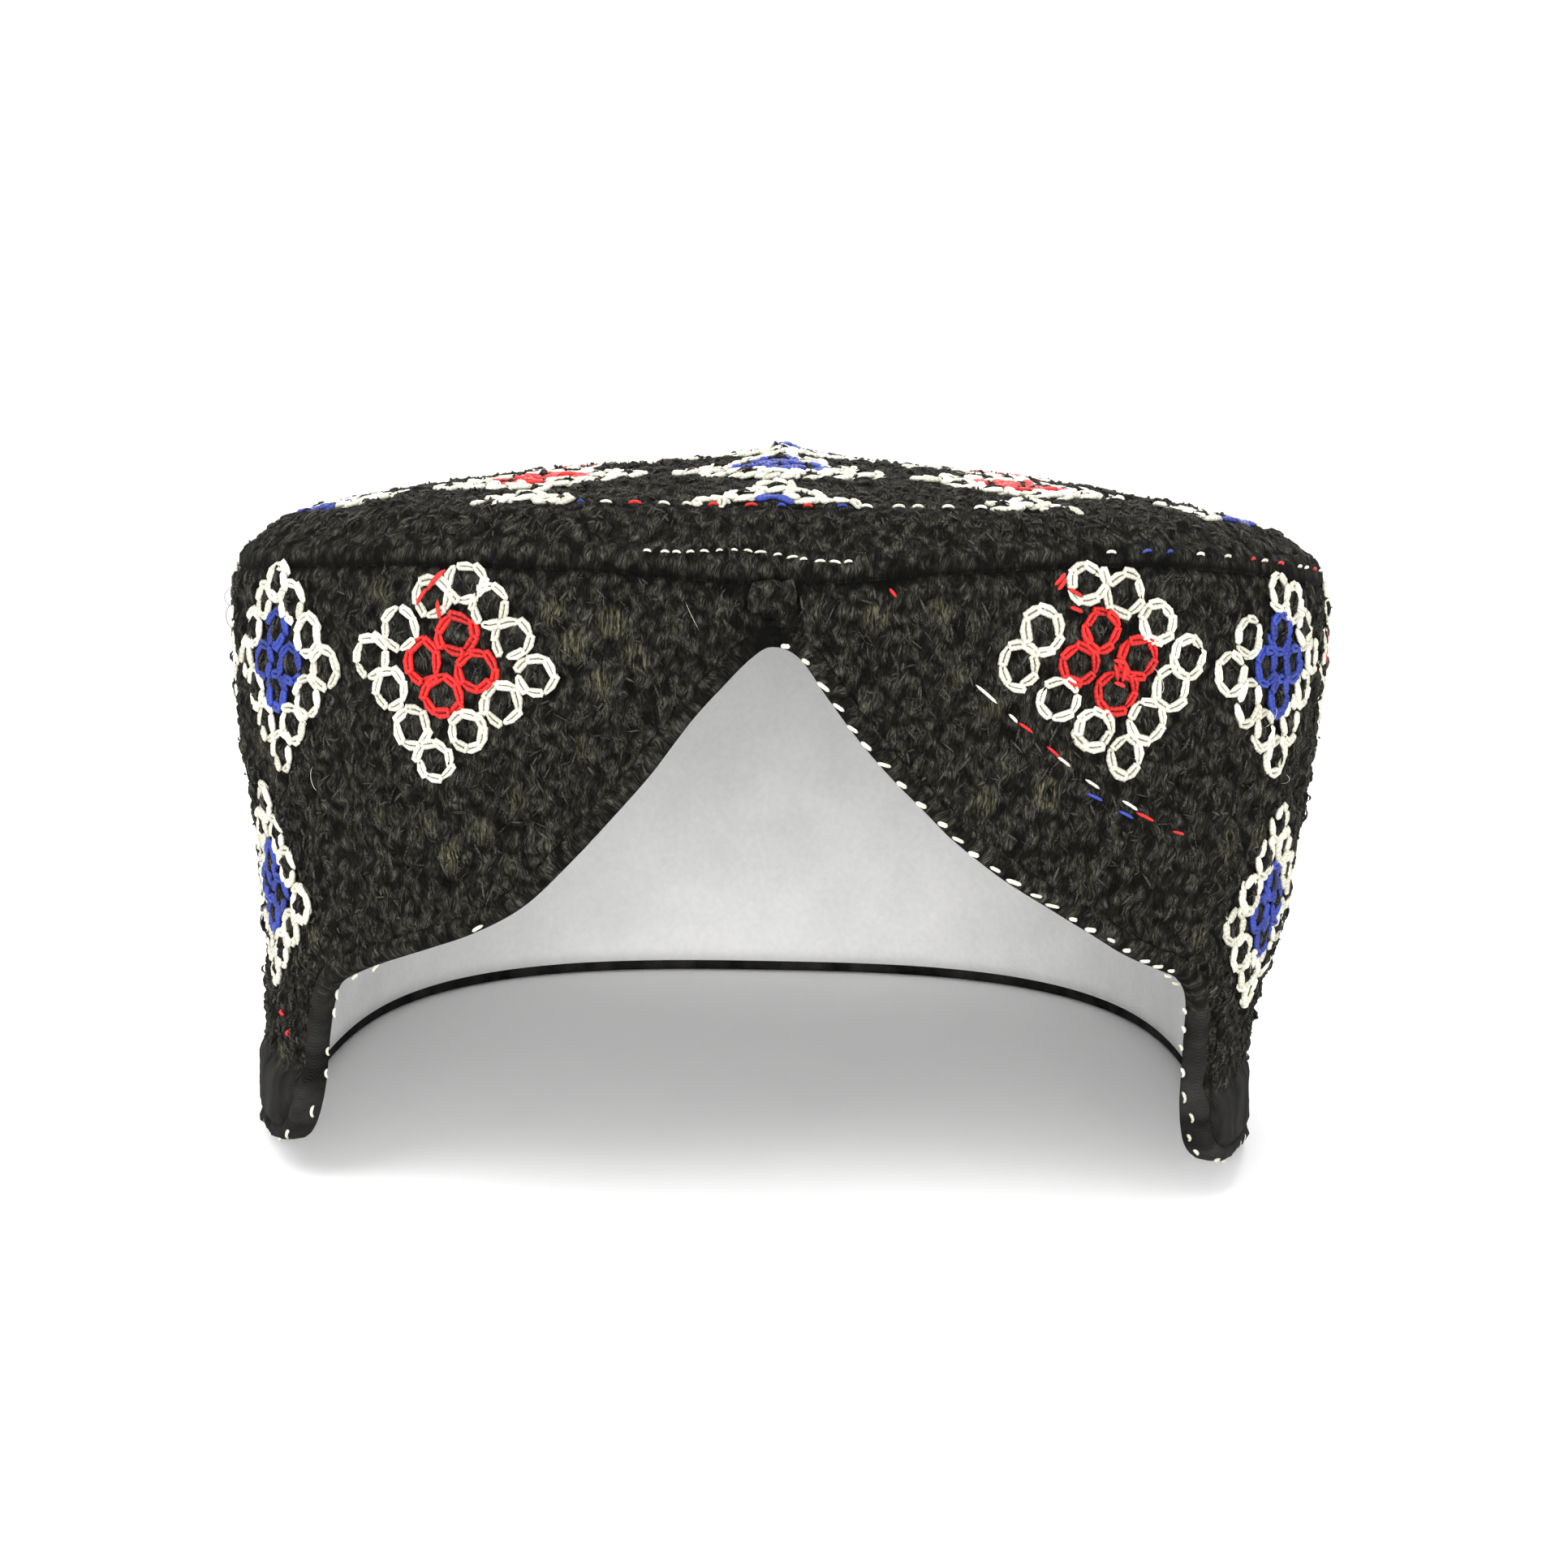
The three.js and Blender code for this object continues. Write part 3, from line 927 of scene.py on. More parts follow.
@dataclass
class NodeKit:
    """Makes one material's nodes and links them."""

    name: str
    material: bpy.types.Material = field(init=False)

    def __post_init__(self) -> None:
        """Starts an empty node tree."""
        self.material = bpy.data.materials.new(self.name)
        self.material.use_nodes = True
        self.tree = self.material.node_tree
        self.tree.nodes.clear()

    def node(self, kind: str, settings: dict, inputs: dict) -> Outputs:
        """Adds a node.

        Args:
            kind: The node's type.
            settings: Its own settings, which are set before its sockets.
            inputs: Values or links, by the socket's number or name.

        Returns:
            The node's outputs.
        """
        made = self.tree.nodes.new(kind)
        for key, value in settings.items():
            setattr(made, key, value)
        for key, value in inputs.items():
            if isinstance(value, Value):
                self.tree.links.new(value.socket, made.inputs[key])
            else:
                made.inputs[key].default_value = value
        return Outputs(self, made)

    def flat(self, name: str, scale: tuple[float, float, float]) -> Value:
        """A UV map's coordinates, scaled."""
        uv = self.node("ShaderNodeUVMap", {"uv_map": name}, {})[0]
        return self.node("ShaderNodeVectorMath", {"operation": "MULTIPLY"}, {0: uv, 1: scale})[0]

    def solid(self, scale: float) -> Value:
        """Object coordinates, scaled from metres."""
        place = self.node("ShaderNodeTexCoord", {}, {})["Object"]
        return self.node("ShaderNodeVectorMath", {"operation": "SCALE"}, {0: place, 3: scale})[0]

    def noise(self, vector: Value, detail: float = 2.0, distortion: float = 0.0) -> Value:
        """Soft noise with features about one unit wide."""
        inputs = {"Vector": vector, "Scale": 1.0, "Detail": detail, "Distortion": distortion}
        return self.node("ShaderNodeTexNoise", {}, inputs)["Fac"]

    def pebbles(self, vector: Value) -> Value:
        """Distance to the nearest of scattered points about one unit apart, in the plane.

        Args:
            vector: Where the pattern is read.

        Returns:
            The distance.
        """
        settings = {"voronoi_dimensions": "2D", "feature": "SMOOTH_F1"}
        inputs = {"Vector": vector, "Scale": 1.0, "Smoothness": 0.25}
        return self.node("ShaderNodeTexVoronoi", settings, inputs)["Distance"]

    def attribute(self, name: str) -> Value:
        """A number kept in the mesh."""
        return self.node("ShaderNodeAttribute", {"attribute_name": name}, {})["Fac"]

    def parts(self, vector: Value) -> tuple[Value, Value, Value]:
        """A vector's three numbers."""
        split = self.node("ShaderNodeSeparateXYZ", {}, {0: vector})
        return split[0], split[1], split[2]

    def joined(self, x: Value | float, y: Value | float, z: Value | float) -> Value:
        """A vector from three numbers."""
        return self.node("ShaderNodeCombineXYZ", {}, {0: x, 1: y, 2: z})[0]

    def mixed(self, share: Value, start: tuple | Value, end: tuple | Value, how: str = "MIX") -> Value:
        """A colour between two others."""
        settings = {"data_type": "RGBA", "blend_type": how}
        return self.node("ShaderNodeMix", settings, {0: share, 6: start, 7: end})[2]

    def bumped(self, height: Value, distance: float, strength: float = 1.0) -> Value:
        """A normal from a height of one unit that stands for a distance in millimetres."""
        inputs = {"Strength": strength, "Distance": distance * MM, "Height": height}
        return self.node("ShaderNodeBump", {}, inputs)["Normal"]

    def surface(self, inputs: dict) -> bpy.types.Material:
        """Ends the material in a Principled shader with these sockets.

        Args:
            inputs: Values or links, by the shader socket's name.

        Returns:
            The new material.
        """
        shader = self.node("ShaderNodeBsdfPrincipled", {}, inputs)
        self.node("ShaderNodeOutputMaterial", {}, {"Surface": shader["BSDF"]})
        return self.material


def grey(value: float, warmth: float = 0.0) -> tuple[float, float, float, float]:
    """A neutral colour, warmed a little towards yellow."""
    return (value * (1 + warmth), value, value * (1 - 2 * warmth), 1.0)


class Finish(ABC):
    """A surface finish that can be made into a material."""

    @abstractmethod
    def make(self) -> bpy.types.Material:
        """The finish as a new material."""


@dataclass(frozen=True)
class EmbroideredGround(Finish):
    """Black thread stitches over black cloth, with painted highlights on loop tops, an olive painted
    highlight on mound tops, painted shade in pits and creases, and a plain hem.
    """

    fibre_width: float = 0.22
    fibre_length: float = 1.0
    loop_width: float = 1.5
    loop_height: float = 1.9
    rib_width: float = 0.3
    lean: float = 2.2
    # pit is the near-black used for the painted shade in pits, gaps and creases, and as the dark end of the
    # hem's patches; thread is the loops' lighter colour, reached where the painted highlight is strongest
    pit: tuple = grey(0.002, 0.04)
    thread: tuple = (0.082, 0.08, 0.064, 1.0)
    # olive is the painted highlight on the tops of the mounds
    olive: tuple = (0.125, 0.115, 0.066, 1.0)
    plain: tuple = grey(0.03, 0.03)
    loop_depth: float = 0.8
    fibre_depth: float = 0.2
    weave_pitch: float = 0.55
    sway_size: float = 2.6
    clump_width: float = 1.9
    clump_height: float = 2.4
    patch_width: float = 6.0
    patch_height: float = 14.0
    roughness: float = 0.92
    gloss: float = 0.04

    def make(self) -> bpy.types.Material:
        """Small knobbly loops of thread with painted shade in the gaps and painted highlights on their tops,
        whose fibres lean with a slow noise.

        Returns:
            The new material.
        """
        kit = NodeKit("embroidered_ground")
        u, v, _ = kit.parts(kit.flat("cloth", (1.0, 1.0, 0.0)))
        sway = kit.noise(kit.flat("cloth", (1 / self.sway_size, 1 / self.sway_size, 0.0)), detail=2.0) - 0.5
        leant, raised = u + sway * self.lean, v + sway * self.lean * 0.8
        strands = kit.joined(leant / self.fibre_width, raised / self.fibre_length, 0.0)
        fibres = kit.noise(strands, detail=2.0, distortion=0.9)
        rows = kit.joined((u + sway * 0.8) / self.rib_width, v / self.clump_height, 4.0)
        ribs = kit.noise(rows, detail=1.0)
        loops = 1 - kit.pebbles(kit.joined(leant / self.loop_width, raised / self.loop_height, 0.0)) * 1.5
        clumps = kit.noise(kit.joined(u / self.clump_width, v / self.clump_height, 7.0), detail=3.0)
        turn = FULL_TURN / self.weave_pitch
        weave = ((u * turn).sine() * (v * turn).sine() + 1) * 0.5
        plain, mound, glint_strength, crease_shade = (kit.attribute(name) for name in ("plain", "mound", "glint_strength", "crease_shade"))
        patches = kit.noise(kit.joined(u / self.patch_width, v / self.patch_height, 3.0), detail=3.0)
        # Painted light: raised clumps, loop tops and fibres are mixed towards the lighter colour as painted
        # highlight, and the gaps between them towards the near-black as painted shade
        raised_part = clumps.rise(0.36, 0.62)
        lit_loops = 0.2 + loops.rise(0.1, 0.65) * 0.8
        lit_fibres = 0.1 + fibres.rise(0.42, 0.7) * 0.9
        lit = lit_loops * lit_fibres * (0.15 + raised_part * 0.85)
        ground = kit.mixed(lit, self.pit, self.thread)
        # Painted highlight: olive on the mound tops of cells with a strong random highlight strength, along
        # fine ribs
        glint = (glint_strength * mound).rise(0.25, 0.85) * ribs.rise(0.44, 0.64)
        ground = kit.mixed(glint * (0.35 + fibres.rise(0.4, 0.6) * 0.65), ground, self.olive)
        # The plain hem's colour goes between the near-black and the plain colour with the weave and with
        # large uneven patches
        cloth = kit.mixed(weave * 0.3 + patches.rise(0.35, 0.7) * 0.7, self.pit, self.plain)
        colour = kit.mixed(plain, ground, cloth)
        height = loops * (1 - plain) + fibres * (self.fibre_depth / self.loop_depth) + weave * plain * 0.1
        return kit.surface({
            # Painted shadow darkens the colour towards the near-black in creases, grooves and hollows
            "Base Color": kit.mixed(crease_shade * 0.92, colour, self.pit),
            "Roughness": self.roughness,
            "Normal": kit.bumped(height + raised_part * (1 - plain) * 0.5, self.loop_depth),
            "Specular IOR Level": self.gloss,
        })


@dataclass(frozen=True)
class Cotton(Finish):
    """Pale plain-woven cotton, a little uneven."""

    thread_pitch: float = 0.6
    slub_size: float = 1.2
    crease_size: float = 14.0
    depth: float = 0.12
    roughness: float = 0.9
    sheen: float = 0.15
    pale: tuple = (0.93, 0.925, 0.91, 1.0)
    shade: tuple = (0.8, 0.8, 0.8, 1.0)

    def make(self) -> bpy.types.Material:
        """A soft weave whose faint creases are painted shade.

        Returns:
            The new material.
        """
        kit = NodeKit("pale_cotton")
        x, y, z = kit.parts(kit.solid(1 / MM))
        turn = FULL_TURN / self.thread_pitch
        weave = ((x + y) * turn).sine() * ((z + (x - y) * 0.5) * turn).sine() * 0.5 + 0.5
        slub = kit.noise(kit.solid(1 / (self.slub_size * MM)), detail=3.0)
        crease_shade = kit.noise(kit.solid(1 / (self.crease_size * MM)), detail=2.0)
        # Painted shade of soft creases, mixed with the real unevenness of the slubs, darkens the cotton
        # towards its shade colour
        return kit.surface({
            "Base Color": kit.mixed((crease_shade * 0.6 + slub * 0.4).rise(0.35, 0.75), self.shade, self.pale),
            "Roughness": self.roughness,
            "Normal": kit.bumped(weave * 0.4 + slub * 0.6, self.depth),
            "Sheen Weight": self.sheen,
        })


@dataclass(frozen=True)
class Thread(Finish):
    """Embroidery thread of twisted plies. Each stitch has its own tone."""

    name: str
    dark: tuple
    light: tuple
    plies: float = 5.0
    fuzz_size: float = 0.22
    depth: float = 0.07
    roughness: float = 0.55
    sheen: float = 0.03
    gloss: float = 0.3

    def make(self) -> bpy.types.Material:
        """Slanting plies along the thread.

        Returns:
            The new material.
        """
        kit = NodeKit(self.name)
        along, round_it, _ = kit.parts(kit.flat("thread", (1.0, 1.0, 0.0)))
        plies = ((along * self.plies + round_it) * FULL_TURN).sine() * 0.5 + 0.5
        fuzz = kit.noise(kit.solid(1 / (self.fuzz_size * MM)), detail=2.0)
        tone = kit.attribute("tone")
        # The plies' stripes darken the colour between the plies as painted shade in their grooves; the fuzz
        # and each stitch's random tone vary it too
        share = (plies * 0.35 + fuzz * 0.15 + tone * 0.6).rise(0.05, 0.9)
        return kit.surface({
            "Base Color": kit.mixed(share, self.dark, self.light),
            "Roughness": self.roughness,
            "Normal": kit.bumped(plies * 0.7 + fuzz * 0.5, self.depth),
            "Sheen Weight": self.sheen,
            "Specular IOR Level": self.gloss,
        })


THREADS: dict[Slot, Thread] = {
    Slot.WHITE: Thread("ivory_thread", dark=(0.34, 0.33, 0.26, 1), light=(0.66, 0.65, 0.545, 1)),
    Slot.RED: Thread("red_thread", dark=(0.25, 0.004, 0.004, 1), light=(0.66, 0.012, 0.01, 1)),
    Slot.BLUE: Thread("blue_thread", dark=(0.008, 0.015, 0.11, 1), light=(0.022, 0.045, 0.3, 1)),
    Slot.EMBROIDERY: Thread(
        "black_thread", dark=grey(0.004, 0.04), light=grey(0.05, 0.07), roughness=0.85, depth=0.05,
        sheen=0.0, gloss=0.12,
    ),
}


# The bright threads' words in the names of pieces
BRIGHT_THREADS = {Slot.WHITE: "white", Slot.RED: "red", Slot.BLUE: "blue"}


def placed(name: str, data: bpy.types.ID) -> bpy.types.Object:
    """A new object in the scene.

    Args:
        name: Its name.
        data: Its mesh, light or camera.

    Returns:
        The object, at the origin.
    """
    obj = bpy.data.objects.new(name, data)
    bpy.context.scene.collection.objects.link(obj)
    return obj


@dataclass
class Workshop:
    """Turns meshes into pieces of the cap and counts their triangles."""

    materials: dict[str, bpy.types.Material] = field(default_factory=dict)
    triangles: int = 0

    def material(self, key: str, finish: Finish) -> bpy.types.Material:
        """A finish's material, made once.

        Args:
            key: What it is kept under.
            finish: The finish to make it from.

        Returns:
            The material.
        """
        if key not in self.materials:
            self.materials[key] = finish.make()
        return self.materials[key]

    def piece(self, name: str, mesh: bpy.types.Mesh, key: str, finish: Finish,
              slot: Slot) -> bpy.types.Object:
        """Adds a finished mesh to the scene as a piece.

        Args:
            name: The piece's name.
            mesh: Its mesh, in metres.
            key: What its material is kept under.
            finish: The finish to make it from.
            slot: The piece's material slot; not used.

        Returns:
            The new object, which rides on the cap.
        """
        obj = placed(name, mesh)
        mesh.materials.append(self.material(key, finish))
        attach(obj, "root")
        mesh.calc_loop_triangles()
        self.triangles += len(mesh.loop_triangles)
        log.info("%s: %d triangles", name, len(mesh.loop_triangles))
        return obj


def cloth_mesh(name: str, shape: bmesh.types.BMesh) -> bpy.types.Mesh:
    """A mesh in metres from a shape in millimetres, smooth and facing out.

    Args:
        name: The mesh's name.
        shape: The shape, which is used up.

    Returns:
        The finished mesh.
    """
    bmesh.ops.remove_doubles(shape, verts=shape.verts, dist=1e-4)
    bmesh.ops.dissolve_degenerate(shape, edges=shape.edges, dist=1e-5)
    bmesh.ops.recalc_face_normals(shape, faces=shape.faces)
    bmesh.ops.scale(shape, vec=(MM, MM, MM), verts=shape.verts)
    for face in shape.faces:
        face.smooth = True
    mesh = bpy.data.meshes.new(name)
    shape.to_mesh(mesh)
    shape.free()
    return mesh


@dataclass
class ClothPoint:
    """A point of laid cloth: its place, its flat coordinates and what its finish reads."""

    place: Vector
    flat: tuple[float, float]
    mound: float = 0.0
    # Strength of the painted olive highlight
    glint_strength: float = 0.0
    plain: float = 0.0
    # Strength of the painted shadow in creases and hollows
    crease_shade: float = 0.0


def lay_cloth(columns: int, rows: int, lay: Callable[[float, float], ClothPoint]) -> bmesh.types.BMesh:
    """A grid of cloth with each point laid in its place.

    Args:
        columns: Faces across.
        rows: Faces up.
        lay: Gives the point at two shares from 0 to 1, across and up.

    Returns:
        The shape, with its cloth UV map and the numbers that its finish reads.
    """
    shape = bmesh.new()
    bmesh.ops.create_grid(shape, x_segments=columns, y_segments=rows, size=0.5)
    uv = shape.loops.layers.uv.new("cloth")
    layers = [shape.verts.layers.float.new(name) for name in ("mound", "glint_strength", "plain", "crease_shade")]
    points = {vert: lay(vert.co.x + 0.5, vert.co.y + 0.5) for vert in shape.verts}
    for face in shape.faces:
        for loop in face.loops:
            loop[uv].uv = points[loop.vert].flat
    for vert, point in points.items():
        vert.co = point.place
        for layer, number in zip(layers, (point.mound, point.glint_strength, point.plain, point.crease_shade)):
            vert[layer] = number
    return shape


@dataclass(frozen=True)
class ShellRows:
    """Rows of a closed cloth: up its outer face, over its top, down its inner face and under its foot."""

    outer: int
    inner: int = 8

    @property
    def total(self) -> int:
        """All rows round the cloth."""
        return self.outer + self.inner + 2

    def at(self, share: float) -> tuple[float, bool]:
        """The share of the height, and whether it is the outer face, at a share of the way round.

        Args:
            share: Share of the way round.

        Returns:
            The share of the height, and True on the outer face.
        """
        row = round(share * self.total)
        if row <= self.outer:
            return row / self.outer, True
        if row <= self.outer + 1 + self.inner:
            return 1 - (row - self.outer - 1) / self.inner, False
        return 0.0, True


@dataclass
class SideWall:
    """The embroidered wall, cut out in an arch over the forehead, with a plain folded hem."""

    plan: CapPlan
    shop: Workshop
    ground: StitchedGround
    face: WallFace
    columns: int = 720
    rows: ShellRows = field(default_factory=lambda: ShellRows(outer=104))
    edge_round: float = 1.5
    edge_drop: float = 0.75
    edge_fade: float = 2.2
    seam_round: float = 1.9
    seam_drop: float = 1.2
    seam_fade: float = 2.6
    sway: float = 0.45
    sway_size: float = 17.0
    ripple: float = 0.25
    ripple_size: float = 5.0
    hem_flatness: float = 0.85
    hem_blend: tuple[float, float] = (-1.5, 2.5)
    join_side: float = 3.6
    join_foot: float = 83.0

    def plainness(self, v: float) -> float:
        """How plain the cloth is at a height: the hem carries no stitches."""
        low, high = self.hem_blend
        return 1 - smoothstep(v, self.plan.hem_band + low, self.plan.hem_band + high)

    def lift(self, u: float, v: float, spot: Matrix, foot: float) -> tuple[float, float, float]:
        """How far the cloth's face stands off the smooth wall, with its mound and tint.

        Args:
            u: Length round the wall.
            v: Height over the hem.
            spot: The smooth wall's frame there.
            foot: Height of the cloth's foot.

        Returns:
            The height over the smooth face, the mound and the strength of the painted olive highlight.
        """
        place = spot.translation
        relief, mound, glint_strength = self.ground.relief(u, v, place)
        plain = self.plainness(v)
        below_seam = self.plan.wall_height - v
        near_foot = smoothstep(v - foot, 0.0, self.edge_fade)
        near_seam = smoothstep(below_seam, 0.0, self.seam_fade)
        height = relief * (1 - plain * self.hem_flatness) * near_foot * near_seam
        height += noise.noise(place / self.sway_size) * self.sway * near_foot * near_seam
        height += noise.noise(place / self.ripple_size) * self.ripple * plain * near_foot
        height -= self.edge_drop * (1 - smoothstep(v - foot, 0.0, self.edge_round))
        height -= self.seam_drop * (1 - smoothstep(below_seam, 0.0, self.seam_round))
        return height, mound * (1 - plain), glint_strength

    def point(self, across: float, round_it: float) -> ClothPoint:
        """A point of the closed wall.

        Args:
            across: Share of the way round the cap.
            round_it: Share of the way round its section.

        Returns:
            The point.
        """
        plan = self.plan
        u = (across * 2 - 1) * plan.half_round
        foot = plan.foot_height(u)
        share, outer = self.rows.at(round_it)
        v = foot + (plan.wall_height - foot) * share
        spot = self.face.spot(u, v)
        if not outer:
            depth = plan.wall_cloth + plan.swell(v)
            return ClothPoint(place=over(spot, -depth), flat=(u, v))
        height, mound, glint_strength = self.lift(u, v, spot, foot)
        return ClothPoint(
            place=over(spot, height), flat=(u, v),
            mound=mound, glint_strength=glint_strength, plain=self.plainness(v), crease_shade=self.crease_shade(u, v),
        )

    def crease_shade(self, u: float, v: float) -> float:
        """How much painted shadow darkens the cloth under the strip's edge and beside the front tab.

        Args:
            u: Length round the wall.
            v: Height over the hem.

        Returns:
            The painted shadow's strength, from 0 to 1.
        """
        # Painted shadow under the strip's ragged edge, in the grooves beside the tab and in the hollow
        # between the tab and the arch's apex
        ragged = noise.noise(Vector((u / 2.2, 0, 5))) * 1.1 + noise.noise(Vector((u / 9, 0, 9))) * 1.2
        under = 1 - smoothstep(self.plan.wall_height - v, 0.3 + ragged, 1.5 + ragged)
        beside = bell(abs(u) - self.join_side, 0.7) * smoothstep(v, self.join_foot - 2, self.join_foot)
        wide = 2.6 * (self.join_foot - v) / 4.8
        hollow = 0.0
        if v < self.join_foot + 0.5:
            hollow = 1 - smoothstep(abs(u + 0.4), wide - 0.5, wide + 0.9)
        return max(under, beside, hollow)

    def build(self) -> bpy.types.Object:
        """Returns:
            The piece.
        """
        shape = lay_cloth(self.columns, self.rows.total, self.point)
        mesh = cloth_mesh("side_wall_cloth", shape)
        wall = self.shop.piece("side_wall_cloth", mesh, "ground", EmbroideredGround(), Slot.EMBROIDERY)
        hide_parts("side_wall")
        length, height = 2 * self.plan.half_round * MM, self.plan.wall_height * MM
        length * height - self.arch_area()
        return wall

    def arch_area(self) -> float:
        """Area of the cut-out in square metres."""
        line = self.plan.arch_line
        return sum((b.x - a.x) * (a.y + b.y) / 2 for a, b in zip(line, line[1:])) * MM * MM


@dataclass
class ShoulderStrip:
    """The slanting band between the wall and the crown, sewn with short upright strokes."""

    plan: CapPlan
    shop: Workshop
    ground: StitchedGround
    face: StripFace
    columns: int = 640
    rows: ShellRows = field(default_factory=lambda: ShellRows(outer=20, inner=3))
    cloth: float = 2.2
    relief_share: float = 0.75
    padding: float = 0.2
    foot_fade: float = 2.4
    foot_drop: float = 0.9
    foot_round: float = 1.4
    head_fade: float = 1.6
    head_drop: float = 0.5
    head_round: float = 1.0
    lip: float = 0.7
    lip_at: float = 2.2
    lip_width: float = 1.6

    def lift(self, u: float, v: float, place: Vector) -> tuple[float, float, float]:
        """How far the strip's face stands off its smooth slant.

        Args:
            u: Length round the wall.
            v: Length up the slant.
            place: The smooth strip's point there.

        Returns:
            The height over the smooth face, the mound and the strength of the painted olive highlight.
        """
        relief, mound, glint_strength = self.ground.relief(u, v, place)
        below_head = self.face.slant - v
        near_foot = smoothstep(v, 0.0, self.foot_fade)
        near_head = smoothstep(below_head, 0.0, self.head_fade)
        height = (relief * self.relief_share + self.padding) * near_foot * near_head
        height -= self.foot_drop * (1 - smoothstep(v, 0.0, self.foot_round))
        height -= self.head_drop * (1 - smoothstep(below_head, 0.0, self.head_round))
        height += self.lip * bell(v - self.lip_at, self.lip_width)
        return height, mound, glint_strength

    def point(self, across: float, round_it: float) -> ClothPoint:
        """A point of the closed strip.

        Args:
            across: Share of the way round the cap.
            round_it: Share of the way round its section.

        Returns:
            The point.
        """
        u = (across * 2 - 1) * self.plan.half_round
        share, outer = self.rows.at(round_it)
        v = share * self.face.slant
        spot = self.face.spot(u, v)
        if not outer:
            return ClothPoint(place=over(spot, -self.cloth), flat=(u, v))
        height, mound, glint_strength = self.lift(u, v, spot.translation)
        # The strip's foot gets painted shadow, darkest at the seam
        return ClothPoint(
            place=over(spot, height), flat=(u, v),
            mound=mound * 0.7, glint_strength=glint_strength * 0.6, crease_shade=1 - smoothstep(v, 0.0, 1.1),
        )

    def build(self) -> bpy.types.Object:
        """Returns:
            The piece.
        """
        shape = lay_cloth(self.columns, self.rows.total, self.point)
        mesh = cloth_mesh("shoulder_strip_cloth", shape)
        strip = self.shop.piece("shoulder_strip_cloth", mesh, "ground", EmbroideredGround(), Slot.PLAIN)
        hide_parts("shoulder_strip")
        2 * self.plan.half_round * MM
        return strip


@dataclass
class Crown:
    """The domed and creased round top of embroidered cloth."""

    plan: CapPlan
    shop: Workshop
    ground: StitchedGround
    face: CrownFace
    cells: int = 184
    cloth: float = 1.6
    edge_fade: float = 2.0
    edge_drop: float = 0.6
    edge_round: float = 1.2
    filled_share: float = 0.86

    def point(self, across: float, up: float) -> ClothPoint:
        """A point of the crown, on a square grid drawn out to the round edge.

        Args:
            across: Share across the grid.
            up: Share up the grid.

        Returns:
            The point.
        """
        a, b = across * 2 - 1, up * 2 - 1
        share = max(abs(a), abs(b))
        if share < 1e-6:
            direction = 0.0
        elif abs(a) >= abs(b):
            direction = b / a * math.pi / 4 + (0 if a > 0 else math.pi)
        else:
            direction = math.pi / 2 - a / b * math.pi / 4 + (0 if b > 0 else math.pi)
        direction = (direction + math.pi) % FULL_TURN - math.pi
        reach = self.plan.crown_reach(direction) * share
        x, y = reach * math.cos(direction), reach * math.sin(direction)
        spot = self.face.spot(x * 0.999, y * 0.999)
        spot.translation = self.face.place(x, y)
        relief, mound, glint_strength = self.ground.relief(x, y, spot.translation)
        inner = self.plan.crown_reach(direction) * (1 - share)
        height = relief * smoothstep(inner, 0.0, self.edge_fade)
        height -= self.edge_drop * (1 - smoothstep(inner, 0.0, self.edge_round))
        return ClothPoint(place=over(spot, height), flat=(x, y), mound=mound, glint_strength=glint_strength * 0.8)

    def build(self) -> bpy.types.Object:
        """Returns:
            The piece.
        """
        shape = lay_cloth(self.cells, self.cells, self.point)
        crown = self.shop.piece(
            "crown_cloth", cloth_mesh("crown_cloth", shape), "ground", EmbroideredGround(), Slot.EMBROIDERY
        )
        thick = crown.modifiers.new("cloth", "SOLIDIFY")
        thick.thickness = self.cloth * MM
        thick.offset = -1
        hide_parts("crown_disc")
        length = 2 * (self.plan.half_depth - self.plan.strip_reach) * MM
        width = 2 * (self.plan.half_width - self.plan.strip_reach) * MM
        width * length * self.filled_share
        return crown


